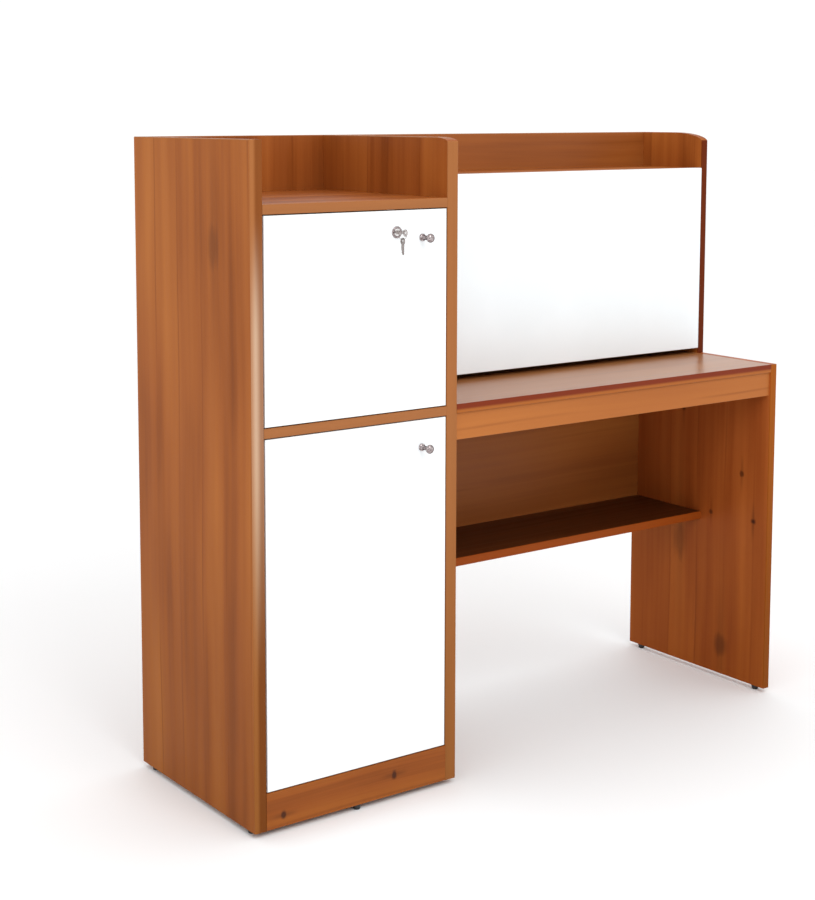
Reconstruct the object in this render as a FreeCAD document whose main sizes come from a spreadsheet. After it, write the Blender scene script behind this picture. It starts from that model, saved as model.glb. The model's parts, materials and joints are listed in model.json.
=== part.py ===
import FreeCAD, Part
import os
import Sketcher
from types import SimpleNamespace

# Student desk with hutch: a tall cabinet on the left, a desktop on a leg panel on the right,
# a book shelf under the desktop and a closed hutch with a white front board on it.
# X runs across the front from left to right, Y from the front to the back, Z up from the ground.

# Driving dimensions in millimetres. Each one becomes a cell of the sheet under the same name.
SIZES = {
    # whole desk
    "width": 1357.0,
    "depth": 430.0,
    "height": 1258.0,
    "desk_height": 750.0,
    "cabinet_width": 457.0,
    # boards
    "side_thick": 25.0,
    "board_thick": 18.0,
    "leg_thick": 18.0,
    "back_thick": 8.0,
    "edge_radius": 1.5,
    "cut_overrun": 2.0,
    # cabinet
    "recess_depth": 113.0,
    "middle_drop": 1.5,
    "plinth_height": 70.0,
    "side_corner_run": 42.0,
    "side_corner_drop": 10.0,
    "inner_shelf_height": 405.0,
    "inner_shelf_setback": 60.0,
    "inner_shelf_play": 1.0,
    # desk
    "apron_height": 52.5,
    "apron_setback": 5.0,
    "book_shelf_height": 380.0,
    "book_shelf_setback": 202.0,
    # hutch
    "hutch_setback": 222.0,
    "hutch_shelf_drop": 80.0,
    "hutch_corner_run": 95.0,
    "hutch_corner_drop": 21.0,
    "cable_slot_height": 12.0,
    # glides under the panels
    "glide_height": 10.0,
    "glide_top_radius": 8.5,
    "glide_base_radius": 7.0,
    "glide_inset": 32.0,
    # doors
    "door_thick": 18.0,
    "door_gap": 2.0,
    "hinge_gap": 2.5,
    "knob_inset": 57.0,
    "knob_drop": 52.0,
    "lock_inset": 116.0,
    "lock_drop": 40.0,
    # knobs
    "knob_reach": 31.0,
    "knob_base_radius": 7.0,
    "knob_base_height": 3.0,
    "knob_neck_radius": 4.0,
    "knob_head_radius": 8.5,
    "knob_head_height": 11.5,
    "knob_screw_radius": 2.0,
    "knob_screw_bite": 9.0,
    "knob_screw_head_radius": 4.5,
    "knob_screw_head_height": 2.4,
    # cup hinges
    "cup_radius": 17.5,
    "cup_depth": 12.0,
    "cup_wall": 0.8,
    "cup_edge": 7.0,
    "flange_radius": 19.5,
    "flange_thick": 1.2,
    "flange_ear_width": 14.0,
    "flange_ear_span": 60.0,
    "pivot_inset": 25.0,
    "pivot_depth": 10.5,
    "pin_radius": 1.8,
    "pin_clearance": 0.05,
    "eye_wall": 1.35,
    "arm_thick": 2.4,
    "arm_height": 14.0,
    "arm_elbow": 20.5,
    "arm_back": 31.5,
    "arm_foot": 34.0,
    "plate_height": 11.0,
    "wing_thick": 2.5,
    "wing_depth": 15.0,
    "wing_span": 52.0,
    "screw_radius": 1.7,
    "screw_bite": 12.0,
    "screw_head_radius": 3.6,
    "screw_head_height": 1.8,
    "screw_edge": 6.0,
    # cam lock
    "bezel_radius": 11.0,
    "bezel_height": 2.5,
    "bezel_chamfer": 1.0,
    "barrel_radius": 9.3,
    "barrel_play": 0.2,
    "barrel_length": 22.0,
    "core_radius": 7.0,
    "core_clearance": 0.05,
    "core_recess": 0.3,
    "nut_radius": 13.8,
    "nut_height": 4.0,
    "latch_gap": 0.4,
    "latch_thick": 2.0,
    "latch_width": 14.0,
    "latch_reach": 36.0,
    "latch_square": 7.0,
    "latch_screw_radius": 2.0,
    "latch_screw_bite": 6.0,
    "latch_screw_head_radius": 5.0,
    "latch_screw_head_height": 2.4,
    "strike_thick": 1.5,
    "strike_width": 18.0,
    "strike_drop": 15.0,
    "strike_foot": 24.0,
    "strike_gap": 1.2,
    # keys and their ring
    "key_reach": 33.0,
    "key_thick": 2.0,
    "key_play": 0.1,
    "key_blade_width": 7.0,
    "key_blade_depth": 18.0,
    "key_bow_radius": 6.5,
    "key_hole_radius": 2.5,
    "key_neck_radius": 2.2,
    "key_neck_length": 6.0,
    "spare_key_length": 32.0,
    "key_notch": 1.8,
    "ring_radius": 8.0,
    "ring_wire_radius": 0.8,
    "ring_gap": 0.3,
    # magnetic catches
    "catch_inset": 32.0,
    "catch_width": 46.0,
    "catch_depth": 15.0,
    "catch_height": 12.0,
    "magnet_width": 26.0,
    "magnet_height": 6.0,
    "magnet_proud": 0.8,
    "magnet_bed": 9.0,
    "catch_gap": 0.3,
    "catch_plate_width": 36.0,
    "catch_plate_height": 10.0,
    "catch_plate_thick": 1.2,
    # shelf pins and their rows of holes
    "peg_radius": 2.5,
    "peg_bite": 9.0,
    "peg_reach": 8.0,
    "peg_inset": 45.0,
    "peg_pitch": 64.0,
    # cam fittings between the boards
    "fitting_inset": 45.0,
    "fitting_reach": 34.0,
    "disc_radius": 7.5,
    "disc_height": 13.0,
    "bolt_radius": 3.0,
    "bolt_bite": 11.0,
    # wooden dowels
    "dowel_radius": 4.0,
    "dowel_reach": 18.0,
    "dowel_bite": 11.0,
    "dowel_inset": 18.0,
}

# Corner of a band that turns by 45 degrees: how far its two sides shift along the band.
DIAGONAL_SHARE = 0.5 ** 0.5
MITRE_SHARE = 2 ** 0.5 - 1
# How far the two hinges of a door stand from its ends, as a share of its height.
HINGE_SHARE = 0.2
PEG_ROWS = (-1, 0, 1)


class Size:
    """A length that keeps its number together with the sheet formula that it comes from."""

    def __init__(self, text, number):
        self.text = text
        self.number = number

    def joined(self, other, sign, number):
        return Size(f"({self.text} {sign} {as_size(other).text})", number)

    def __add__(self, other):
        return self.joined(other, "+", self.number + as_size(other).number)

    def __radd__(self, other):
        return as_size(other) + self

    def __sub__(self, other):
        return self.joined(other, "-", self.number - as_size(other).number)

    def __rsub__(self, other):
        return as_size(other) - self

    def __mul__(self, share):
        return self.joined(share, "*", self.number * as_size(share).number)

    def __rmul__(self, share):
        return as_size(share) * self

    def __truediv__(self, share):
        return self.joined(share, "/", self.number / as_size(share).number)

    def __neg__(self):
        return Size(f"(0 - {self.text})", -self.number)


def as_size(value):
    if isinstance(value, Size):
        return value
    return Size(repr(float(value)), float(value))


doc = FreeCAD.newDocument("student_desk")
sheet = doc.addObject("Spreadsheet::Sheet", "sizes")
for row, (alias, number) in enumerate(SIZES.items(), start=1):
    sheet.set(f"A{row}", alias)
    sheet.set(f"B{row}", str(number))
    sheet.setAlias(f"B{row}", alias)
doc.recompute()
s = SimpleNamespace(**{alias: Size(f"sizes.{alias}", number) for alias, number in SIZES.items()})

# Planes that several pieces share.
left = -s.width / 2
right = s.width / 2
front = (s.key_reach - s.depth) / 2
rear = front + s.depth
inner_left = left + s.side_thick
cabinet_right = left + s.cabinet_width
inner_right = cabinet_right - s.side_thick
cabinet_back_face = rear - s.back_thick
desk_back_face = rear - s.board_thick
leg_inner = right - s.leg_thick
hutch_inner = right - s.board_thick
base = s.glide_height
bottom_top = base + s.plinth_height
bottom_under = bottom_top - s.board_thick
plinth_back = front + s.board_thick
inner_shelf_front = front + s.inner_shelf_setback
middle_top = s.desk_height - s.middle_drop
middle_under = middle_top - s.board_thick
recess_top = s.height - s.recess_depth
recess_under = recess_top - s.board_thick
desk_under = s.desk_height - s.board_thick
apron_front = front + s.apron_setback
apron_back = apron_front + s.board_thick
apron_under = desk_under - s.apron_height
book_shelf_front = front + s.book_shelf_setback
book_top = s.book_shelf_height
book_under = book_top - s.board_thick
hutch_front = front + s.hutch_setback
hutch_board_back = hutch_front + s.board_thick
hutch_board_under = s.desk_height + s.cable_slot_height
hutch_shelf_top = s.height - s.hutch_shelf_drop
hutch_shelf_under = hutch_shelf_top - s.board_thick
door_left = inner_left + s.hinge_gap
door_right = inner_right - s.door_gap
door_rear = front + s.door_thick
upper_door_low = middle_top + s.door_gap
upper_door_high = recess_under - s.door_gap
lower_door_low = bottom_top + s.door_gap
lower_door_high = middle_under - s.door_gap

TURNS = {
    "x": FreeCAD.Rotation(FreeCAD.Vector(0, 1, 0), 90),
    "y": FreeCAD.Rotation(FreeCAD.Vector(1, 0, 0), -90),
    "z": FreeCAD.Rotation(),
    "x, lying along y": FreeCAD.Rotation(FreeCAD.Vector(1, 1, 1), 120),
}
# Runs of edge band that show: along the front of shelves, up the front and over the top of panels.
SHELF_BAND = (("x", "front"),)
PANEL_BAND = (("z", "front"), ("y", "top"))
DOOR_BAND = (("x", "front"), ("z", "front"))
BACK_BAND = (("x", "top"),)

pieces = []
blanks = {}
drillings = {}


def put(thing, x, y, z, axis="z"):
    """Places an object at sheet formulas, with its own Z axis turned to the given axis."""
    thing.Placement = FreeCAD.Placement(FreeCAD.Vector(), TURNS[axis])
    for letter, value in zip("xyz", (x, y, z)):
        thing.setExpression(f"Placement.Base.{letter}", as_size(value).text)
    return thing


def bind(thing, **sizes):
    for name, value in sizes.items():
        thing.setExpression(name, value.text)
    return thing


def box(name, low, high):
    thing = doc.addObject("Part::Box", name)
    bind(thing, Length=high[0] - low[0], Width=high[1] - low[1], Height=high[2] - low[2])
    return put(thing, *low)


def rod(name, start, axis, radius, length):
    """A cylinder that starts at a point and runs along a positive axis."""
    thing = bind(doc.addObject("Part::Cylinder", name), Radius=radius, Height=length)
    return put(thing, *start, axis)


def fuse(name, parts):
    thing = doc.addObject("Part::MultiFuse", name)
    thing.Shapes = parts
    return thing


def cut(name, solid, tools):
    thing = doc.addObject("Part::Cut", name)
    thing.Base = solid
    thing.Tool = tools[0] if len(tools) == 1 else fuse(f"{name}_tools", tools)
    return thing


def piece(label, thing):
    """Names a finished sub-part."""
    thing.Label = label
    pieces.append(thing)
    return thing


def group(label, things):
    """Like solids that share one node."""
    thing = doc.addObject("Part::Compound", label)
    thing.Links = things
    return piece(label, thing)


def edge_names(shape, runs):
    """Names of a block's edges that run along an axis on a face, for (axis, face) pairs."""
    whole = shape.BoundBox
    faces = {"front": ("YMax", whole.YMin), "top": ("ZMin", whole.ZMax)}
    names = []
    for number, edge in enumerate(shape.Edges, start=1):
        span = edge.BoundBox
        lengths = {"x": span.XLength, "y": span.YLength, "z": span.ZLength}
        axis = max(lengths, key=lengths.get)
        for run_axis, face in runs:
            side, plane = faces[face]
            if axis == run_axis and abs(getattr(span, side) - plane) < Part.Precision.confusion():
                names.append(f"Edge{number}")
    return names


def board(label, low, high, banded=()):
    """A flat board whose banded edges are eased, drilled later for the fittings in it."""
    body = doc.addObject("PartDesign::Body", f"{label}_blank")
    block = body.newObject("PartDesign::AdditiveBox", f"{label}_block")
    bind(block, Length=high[0] - low[0], Width=high[1] - low[1], Height=high[2] - low[2])
    if banded:
        doc.recompute()
        easing = body.newObject("PartDesign::Fillet", f"{label}_easing")
        easing.Base = (block, edge_names(block.Shape, banded))
        bind(easing, Radius=s.edge_radius)
    blanks[label] = put(body, *low)
    drillings[label] = []


def drill(label, tool):
    drillings[label].append(tool)
    return tool


def finish_boards():
    for label, blank in blanks.items():
        piece(label, cut(label, blank, drillings[label]) if drillings[label] else blank)


def outlined_body(name, plane, points):
    """A body with one closed sketch of straight lines, each corner bound to the sheet."""
    body = doc.addObject("PartDesign::Body", name)
    sketch = body.newObject("Sketcher::SketchObject", f"{name}_outline")
    origin_plane = next(item for item in body.Origin.OriginFeatures if item.Role == plane)
    sketch.AttachmentSupport = (origin_plane, [""])
    sketch.MapMode = "FlatFace"
    points = [(as_size(x), as_size(y)) for x, y in points]
    corners = [FreeCAD.Vector(x.number, y.number, 0) for x, y in points]
    for index, corner in enumerate(corners):
        sketch.addGeometry(Part.LineSegment(corner, corners[(index + 1) % len(corners)]), False)
    for index in range(len(corners)):
        following = (index + 1) % len(corners)
        sketch.addConstraint(Sketcher.Constraint("Coincident", index, 2, following, 1))
    for index, corner in enumerate(points):
        for kind, value in zip(("DistanceX", "DistanceY"), corner):
            rule = sketch.addConstraint(Sketcher.Constraint(kind, -1, 1, index, 1, value.number))
            sketch.setExpression(f"Constraints[{rule}]", value.text)
    return body, sketch


def padded_body(name, plane, points, length):
    """An outline padded to both sides of its plane."""
    body, sketch = outlined_body(name, plane, points)
    pad = body.newObject("PartDesign::Pad", f"{name}_pad")
    pad.Profile = sketch
    pad.SideType = "Symmetric"
    bind(pad, Length=length)
    return body


def turned_body(name, points):
    """An outline of (radius, place along Y) points turned about the Y axis."""
    body, sketch = outlined_body(name, "XY_Plane", points)
    turning = body.newObject("PartDesign::Revolution", f"{name}_turning")
    turning.Profile = sketch
    turning.ReferenceAxis = (sketch, ["V_Axis"])
    turning.Angle = 360
    return body


def sweep_corner(label, x_low, x_high, front_face, run, drop):
    """Cuts the top of an upright board down to its front in a quarter of an ellipse."""
    centre_y = front_face + run
    centre_z = s.height - drop
    low_x = x_low - s.cut_overrun
    high_x = x_high + s.cut_overrun
    waste_low = (low_x, front_face - s.cut_overrun, centre_z)
    waste = box(f"{label}_waste", waste_low, (high_x, centre_y, s.height + s.cut_overrun))
    curve = bind(doc.addObject("Part::Ellipse", f"{label}_curve"), MajorRadius=run, MinorRadius=drop)
    put(curve, low_x, centre_y, centre_z, "x, lying along y")
    kept = doc.addObject("Part::Extrusion", f"{label}_kept")
    kept.Base = curve
    kept.DirMode = "Normal"
    kept.Solid = True
    bind(kept, LengthFwd=high_x - low_x)
    drill(label, cut(f"{label}_corner", waste, [kept]))


def cabinet():
    board("cabinet_left_side", (left, front, base), (inner_left, rear, s.height), PANEL_BAND)
    board("cabinet_right_side", (inner_right, front, base), (cabinet_right, rear, s.height), PANEL_BAND)
    sweep = (s.side_corner_run, s.side_corner_drop)
    sweep_corner("cabinet_right_side", inner_right, cabinet_right, front, *sweep)
    for label, under in (("recess_floor", recess_under), ("middle_shelf", middle_under)):
        far_corner = (inner_right, cabinet_back_face, under + s.board_thick)
        board(label, (inner_left, front, under), far_corner, SHELF_BAND)
    bottom_low = (inner_left, plinth_back, bottom_under)
    board("bottom_board", bottom_low, (inner_right, cabinet_back_face, bottom_top))
    board("plinth", (inner_left, front, base), (inner_right, plinth_back, bottom_top), SHELF_BAND)
    board("cabinet_back", (inner_left, cabinet_back_face, base), (inner_right, rear, s.height), BACK_BAND)
    play = s.inner_shelf_play
    shelf_low = (inner_left + play, inner_shelf_front, s.inner_shelf_height)
    shelf_high = (inner_right - play, cabinet_back_face - play, s.inner_shelf_height + s.board_thick)
    board("inner_shelf", shelf_low, shelf_high, SHELF_BAND)


def shelf_pegs():
    """Four pegs under the loose shelf, each in one of a row of holes in the side panels."""
    peg_level = s.inner_shelf_height - s.peg_radius
    depths = (inner_shelf_front + s.peg_inset, cabinet_back_face - s.peg_inset)
    pegs = []
    sides = (
        ("cabinet_left_side", inner_left - s.peg_bite, inner_left - s.peg_bite),
        ("cabinet_right_side", inner_right, inner_right - s.peg_reach),
    )
    for side, hole_start, peg_start in sides:
        for number, y in enumerate(depths):
            name = f"{side}_peg_{number}"
            for step in PEG_ROWS:
                start = (hole_start, y, peg_level + step * s.peg_pitch)
                drill(side, rod(f"{name}_hole_{step + 1}", start, "x", s.peg_radius, s.peg_bite))
            start = (peg_start, y, peg_level)
            pegs.append(rod(name, start, "x", s.peg_radius, s.peg_bite + s.peg_reach))
    group("shelf_pegs", pegs)


def desk():
    board("desktop", (cabinet_right, front, desk_under), (leg_inner, rear, s.desk_height), SHELF_BAND)
    board("leg_panel", (leg_inner, front, base), (right, rear, s.desk_height), PANEL_BAND)
    board("apron", (cabinet_right, apron_front, apron_under), (leg_inner, apron_back, desk_under), SHELF_BAND)
    shelf_low = (cabinet_right, book_shelf_front, book_under)
    board("book_shelf", shelf_low, (leg_inner, desk_back_face, book_top), SHELF_BAND)
    board("book_back", (cabinet_right, desk_back_face, book_under), (leg_inner, rear, desk_under))


def hutch():
    board("hutch_side", (hutch_inner, hutch_front, s.desk_height), (right, rear, s.height), PANEL_BAND)
    sweep = (s.hutch_corner_run, s.hutch_corner_drop)
    sweep_corner("hutch_side", hutch_inner, right, hutch_front, *sweep)
    back_low = (cabinet_right, desk_back_face, s.desk_height)
    board("hutch_back", back_low, (hutch_inner, rear, s.height), BACK_BAND)
    board_low = (cabinet_right, hutch_front, hutch_board_under)
    board("hutch_board", board_low, (hutch_inner, hutch_board_back, hutch_shelf_top), SHELF_BAND)
    shelf_low = (cabinet_right, hutch_board_back, hutch_shelf_under)
    board("hutch_shelf", shelf_low, (hutch_inner, desk_back_face, hutch_shelf_top))


def glides():
    """Tapered glides under the side panels, the leg panel and the middle of the plinth."""
    near = front + s.glide_inset
    far = rear - s.glide_inset
    places = [((left + inner_left) / 2, near), ((left + inner_left) / 2, far)]
    places += [((inner_right + cabinet_right) / 2, near), ((inner_right + cabinet_right) / 2, far)]
    places += [((leg_inner + right) / 2, near), ((leg_inner + right) / 2, far)]
    places += [((inner_left + inner_right) / 2, front + s.board_thick / 2)]
    feet = []
    for number, (x, y) in enumerate(places):
        foot = doc.addObject("Part::Cone", f"glide_{number}")
        bind(foot, Radius1=s.glide_base_radius, Radius2=s.glide_top_radius, Height=s.glide_height)
        feet.append(put(foot, x, y, 0))
    group("glides", feet)


def screw(name, seat, axis, sign, radius, bite, head_radius, head_height):
    """A screw whose head stands on its seat, and the rod that drills its hole."""
    x, y, z = seat
    along = {"x": x, "y": y}[axis]

    def start(low):
        return (low, y, z) if axis == "x" else (x, low, z)

    head_low = along if sign > 0 else along - head_height
    shank_low = along - bite if sign > 0 else along
    head = rod(f"{name}_head", start(head_low), axis, head_radius, head_height)
    shank = rod(f"{name}_shank", start(shank_low), axis, radius, bite)
    return fuse(name, [head, shank]), shank


def door(label, low, high):
    board(label, (door_left, front, low), (door_right, door_rear, high), DOOR_BAND)


def knob(tag, door_label, door_high):
    """A round knob held by a screw from behind the door."""
    x = door_right - s.knob_inset
    z = door_high - s.knob_drop
    foot_start = (x, front - s.knob_base_height, z)
    foot = rod(f"{tag}_knob_foot", foot_start, "y", s.knob_base_radius, s.knob_base_height)
    head_middle = front - s.knob_reach + s.knob_head_height / 2
    neck = rod(f"{tag}_knob_neck", (x, head_middle, z), "y", s.knob_neck_radius, front - head_middle)
    head = doc.addObject("Part::Ellipsoid", f"{tag}_knob_head")
    bind(head, Radius1=s.knob_head_height / 2, Radius2=s.knob_head_radius, Radius3=s.knob_head_radius)
    put(head, x, head_middle, z, "y")
    seat = (x, door_rear, z)
    bolt, shank = screw(
        f"knob_screw_{tag}",
        seat,
        "y",
        1,
        s.knob_screw_radius,
        s.door_thick + s.knob_screw_bite,
        s.knob_screw_head_radius,
        s.knob_screw_head_height,
    )
    piece(f"knob_{tag}", cut(f"knob_{tag}", fuse(f"{tag}_knob_blank", [foot, neck, head]), [shank]))
    piece(f"knob_screw_{tag}", bolt)
    drill(door_label, shank)


# Hinge pivot, cup centre and arm, measured from the left side panel and the front.
pivot_x = door_left + s.pivot_inset
pivot_y = front + s.pivot_depth
cup_x = door_left + s.cup_edge + s.cup_radius
eye_radius = s.pin_radius + s.eye_wall
plate_near = pivot_y + s.arm_back - s.arm_thick / 2
plate_far = pivot_y + s.arm_back + s.arm_foot
wing_middle = (plate_near + plate_far) / 2


def hinge_cup(name, door_label, z):
    """The pressed cup in the back of the door, with its flange, pivot pin and two screws."""
    shell = rod(f"{name}_shell", (cup_x, door_rear - s.cup_depth, z), "y", s.cup_radius, s.cup_depth)
    drill(door_label, shell)
    rim = rod(f"{name}_rim", (cup_x, door_rear, z), "y", s.flange_radius, s.flange_thick)
    ear_low = (cup_x - s.flange_ear_width / 2, door_rear, z - s.flange_ear_span / 2)
    ear_high = (cup_x + s.flange_ear_width / 2, door_rear + s.flange_thick, z + s.flange_ear_span / 2)
    ears = box(f"{name}_ears", ear_low, ear_high)
    hollow_start = (cup_x, door_rear - s.cup_depth + s.cup_wall, z)
    hollow = rod(f"{name}_hollow", hollow_start, "y", s.cup_radius - s.cup_wall, s.cup_depth + s.flange_thick)
    pin_half = s.cup_radius - s.cup_wall / 2
    pin = rod(f"{name}_pin", (pivot_x, pivot_y, z - pin_half), "z", s.pin_radius, 2 * pin_half)
    screws = []
    shanks = []
    for side in (-1, 1):
        seat = (cup_x, door_rear + s.flange_thick, z + side * (s.flange_ear_span / 2 - s.screw_edge))
        thing, shank = screw(
            f"{name}_screw_{side + 1}",
            seat,
            "y",
            1,
            s.screw_radius,
            s.flange_thick + s.screw_bite,
            s.screw_head_radius,
            s.screw_head_height,
        )
        screws.append(thing)
        shanks.append(drill(door_label, shank))
    cup = cut(name, fuse(f"{name}_blank", [shell, rim, ears]), [hollow, pin] + shanks)
    return cup, pin, screws


def hinge_arm(name, z):
    """The gooseneck arm: an eye on the pin, a diagonal out of the cup and a foot on the plate."""
    half = s.arm_thick / 2
    elbow = s.arm_elbow
    back = s.arm_back
    foot = inner_left + s.plate_height + half - pivot_x
    end = back + s.arm_foot
    points = [
        (-half * DIAGONAL_SHARE, half * DIAGONAL_SHARE),
        (elbow - half, elbow + half * MITRE_SHARE),
        (elbow - half, back - half),
        (foot - half, back - half),
        (foot - half, end),
        (foot + half, end),
        (foot + half, back + half),
        (elbow + half, back + half),
        (elbow + half, elbow - half * MITRE_SHARE),
        (half * DIAGONAL_SHARE, -half * DIAGONAL_SHARE),
    ]
    band = put(padded_body(f"{name}_band", "XY_Plane", points, s.arm_height), pivot_x, pivot_y, z)
    eye = rod(f"{name}_eye", (pivot_x, pivot_y, z - s.arm_height / 2), "z", eye_radius, s.arm_height)
    hole_low = z - s.arm_height / 2 - s.cut_overrun
    hole_length = s.arm_height + 2 * s.cut_overrun
    hole = rod(f"{name}_hole", (pivot_x, pivot_y, hole_low), "z", s.pin_radius + s.pin_clearance, hole_length)
    return cut(name, fuse(f"{name}_blank", [band, eye]), [hole])


def hinge_plate(name, z):
    """The mounting plate on the side panel, with a screw in each wing."""
    block_low = (inner_left, plate_near, z - s.arm_height / 2)
    block = box(f"{name}_block", block_low, (inner_left + s.plate_height, plate_far, z + s.arm_height / 2))
    wing_low = (inner_left, wing_middle - s.wing_depth / 2, z - s.wing_span / 2)
    wing_high = (inner_left + s.wing_thick, wing_middle + s.wing_depth / 2, z + s.wing_span / 2)
    wings = box(f"{name}_wings", wing_low, wing_high)
    screws = []
    shanks = []
    for side in (-1, 1):
        seat = (inner_left + s.wing_thick, wing_middle, z + side * (s.wing_span / 2 - s.screw_edge))
        thing, shank = screw(
            f"{name}_screw_{side + 1}",
            seat,
            "x",
            1,
            s.screw_radius,
            s.wing_thick + s.screw_bite,
            s.screw_head_radius,
            s.screw_head_height,
        )
        screws.append(thing)
        shanks.append(drill("cabinet_left_side", shank))
    return cut(name, fuse(f"{name}_blank", [block, wings]), shanks), screws


def hinges(tag, door_label, door_low, door_high):
    cups, pins, cup_screws, arms, plates, plate_screws = [], [], [], [], [], []
    inset = (door_high - door_low) * HINGE_SHARE
    for end, z in (("low", door_low + inset), ("high", door_high - inset)):
        cup, pin, screws = hinge_cup(f"{tag}_{end}_cup", door_label, z)
        cups.append(cup)
        pins.append(pin)
        cup_screws += screws
        arms.append(hinge_arm(f"{tag}_{end}_arm", z))
        plate, screws = hinge_plate(f"{tag}_{end}_plate", z)
        plates.append(plate)
        plate_screws += screws
    group(f"hinge_cups_{tag}", cups)
    group(f"hinge_pins_{tag}", pins)
    group(f"hinge_cup_screws_{tag}", cup_screws)
    group(f"hinge_arms_{tag}", arms)
    group(f"hinge_plates_{tag}", plates)
    group(f"hinge_plate_screws_{tag}", plate_screws)


# Axis of the lock on the upper door, and the planes of its latch behind the door.
lock_x = door_right - s.lock_inset
lock_z = upper_door_high - s.lock_drop
bezel_front = front - s.bezel_height
barrel_end = front + s.barrel_length
latch_front = barrel_end + s.latch_gap
latch_back = latch_front + s.latch_thick
blade_end = bezel_front + s.key_blade_depth
bow_y = front - s.key_reach + s.key_bow_radius
neck_start = bow_y + s.key_bow_radius - s.key_thick
neck_end = neck_start + s.key_neck_length


def lock_barrel():
    bore = s.core_radius + s.core_clearance
    points = [
        (bore, -s.bezel_height),
        (s.bezel_radius - s.bezel_chamfer, -s.bezel_height),
        (s.bezel_radius, s.bezel_chamfer - s.bezel_height),
        (s.bezel_radius, 0),
        (s.barrel_radius, 0),
        (s.barrel_radius, s.barrel_length),
        (bore, s.barrel_length),
    ]
    piece("lock_barrel", put(turned_body("lock_barrel", points), lock_x, front, lock_z))
    hole_start = (lock_x, front - s.cut_overrun, lock_z)
    hole_length = s.door_thick + 2 * s.cut_overrun
    drill("door_upper", rod("lock_hole", hole_start, "y", s.barrel_radius + s.barrel_play, hole_length))
    nut = doc.addObject("Part::Prism", "lock_nut_blank")
    nut.Polygon = 6
    put(bind(nut, Circumradius=s.nut_radius, Height=s.nut_height), lock_x, door_rear, lock_z, "y")
    thread_start = (lock_x, door_rear - s.cut_overrun, lock_z)
    thread = rod("lock_nut_thread", thread_start, "y", s.barrel_radius, s.nut_height + 2 * s.cut_overrun)
    piece("lock_nut", cut("lock_nut", nut, [thread]))


def lock_core():
    """The turning plug with its key slot, its square end, the latch and the latch's screw."""
    core_start = (lock_x, bezel_front + s.core_recess, lock_z)
    plug = rod("lock_core_plug", core_start, "y", s.core_radius, latch_front - core_start[1])
    half = s.latch_square / 2
    end_low = (lock_x - half, latch_front, lock_z - half)
    end_high = (lock_x + half, latch_back, lock_z + half)
    square = box("lock_core_end", end_low, end_high)
    slot_half = s.key_thick / 2 + s.key_play
    slot_width = s.key_blade_width / 2 + s.key_play
    slot_low = (lock_x - slot_half, bezel_front - s.cut_overrun, lock_z - slot_width)
    slot_high = (lock_x + slot_half, blade_end + s.key_play, lock_z + slot_width)
    slot = box("lock_core_slot", slot_low, slot_high)
    bolt, shank = screw(
        "latch_screw",
        (lock_x, latch_back, lock_z),
        "y",
        1,
        s.latch_screw_radius,
        s.latch_screw_bite,
        s.latch_screw_head_radius,
        s.latch_screw_head_height,
    )
    piece("lock_core", cut("lock_core", fuse("lock_core_blank", [plug, square]), [slot, shank]))
    piece("latch_screw", bolt)
    bar_low = (lock_x - s.latch_reach, latch_front, lock_z - s.latch_width / 2)
    bar_high = (lock_x, latch_back, lock_z + s.latch_width / 2)
    bar = box("lock_latch_bar", bar_low, bar_high)
    hub = rod("lock_latch_hub", (lock_x, latch_front, lock_z), "y", s.latch_width / 2, s.latch_thick)
    piece("lock_latch", cut("lock_latch", fuse("lock_latch_blank", [bar, hub]), [square]))


def lock_strike():
    """An angle under the recess floor that the raised latch catches."""
    near = s.door_thick + s.strike_gap
    points = [
        (near, -s.strike_drop),
        (near + s.strike_thick, -s.strike_drop),
        (near + s.strike_thick, -s.strike_thick),
        (near + s.strike_foot, -s.strike_thick),
        (near + s.strike_foot, 0),
        (near, 0),
    ]
    angle = padded_body("lock_strike", "YZ_Plane", points, s.strike_width)
    piece("lock_strike", put(angle, lock_x, front, recess_under))


def door_key():
    """The key in the lock: flat blade, round neck for the ring, flat round bow."""
    half = s.key_thick / 2
    blade_low = (lock_x - half, neck_end, lock_z - s.key_blade_width / 2)
    blade_high = (lock_x + half, blade_end, lock_z + s.key_blade_width / 2)
    blade = box("door_key_blade", blade_low, blade_high)
    neck = rod("door_key_neck", (lock_x, neck_start, lock_z), "y", s.key_neck_radius, s.key_neck_length)
    bow = rod("door_key_bow", (lock_x - half, bow_y, lock_z), "x", s.key_bow_radius, s.key_thick)
    hole_start = (lock_x - half - s.cut_overrun, bow_y, lock_z)
    hole = rod("door_key_hole", hole_start, "x", s.key_hole_radius, s.key_thick + 2 * s.cut_overrun)
    blank = fuse("door_key_blank", [blade, neck, bow])
    piece("door_key", cut("door_key", blank, [hole]))


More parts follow.
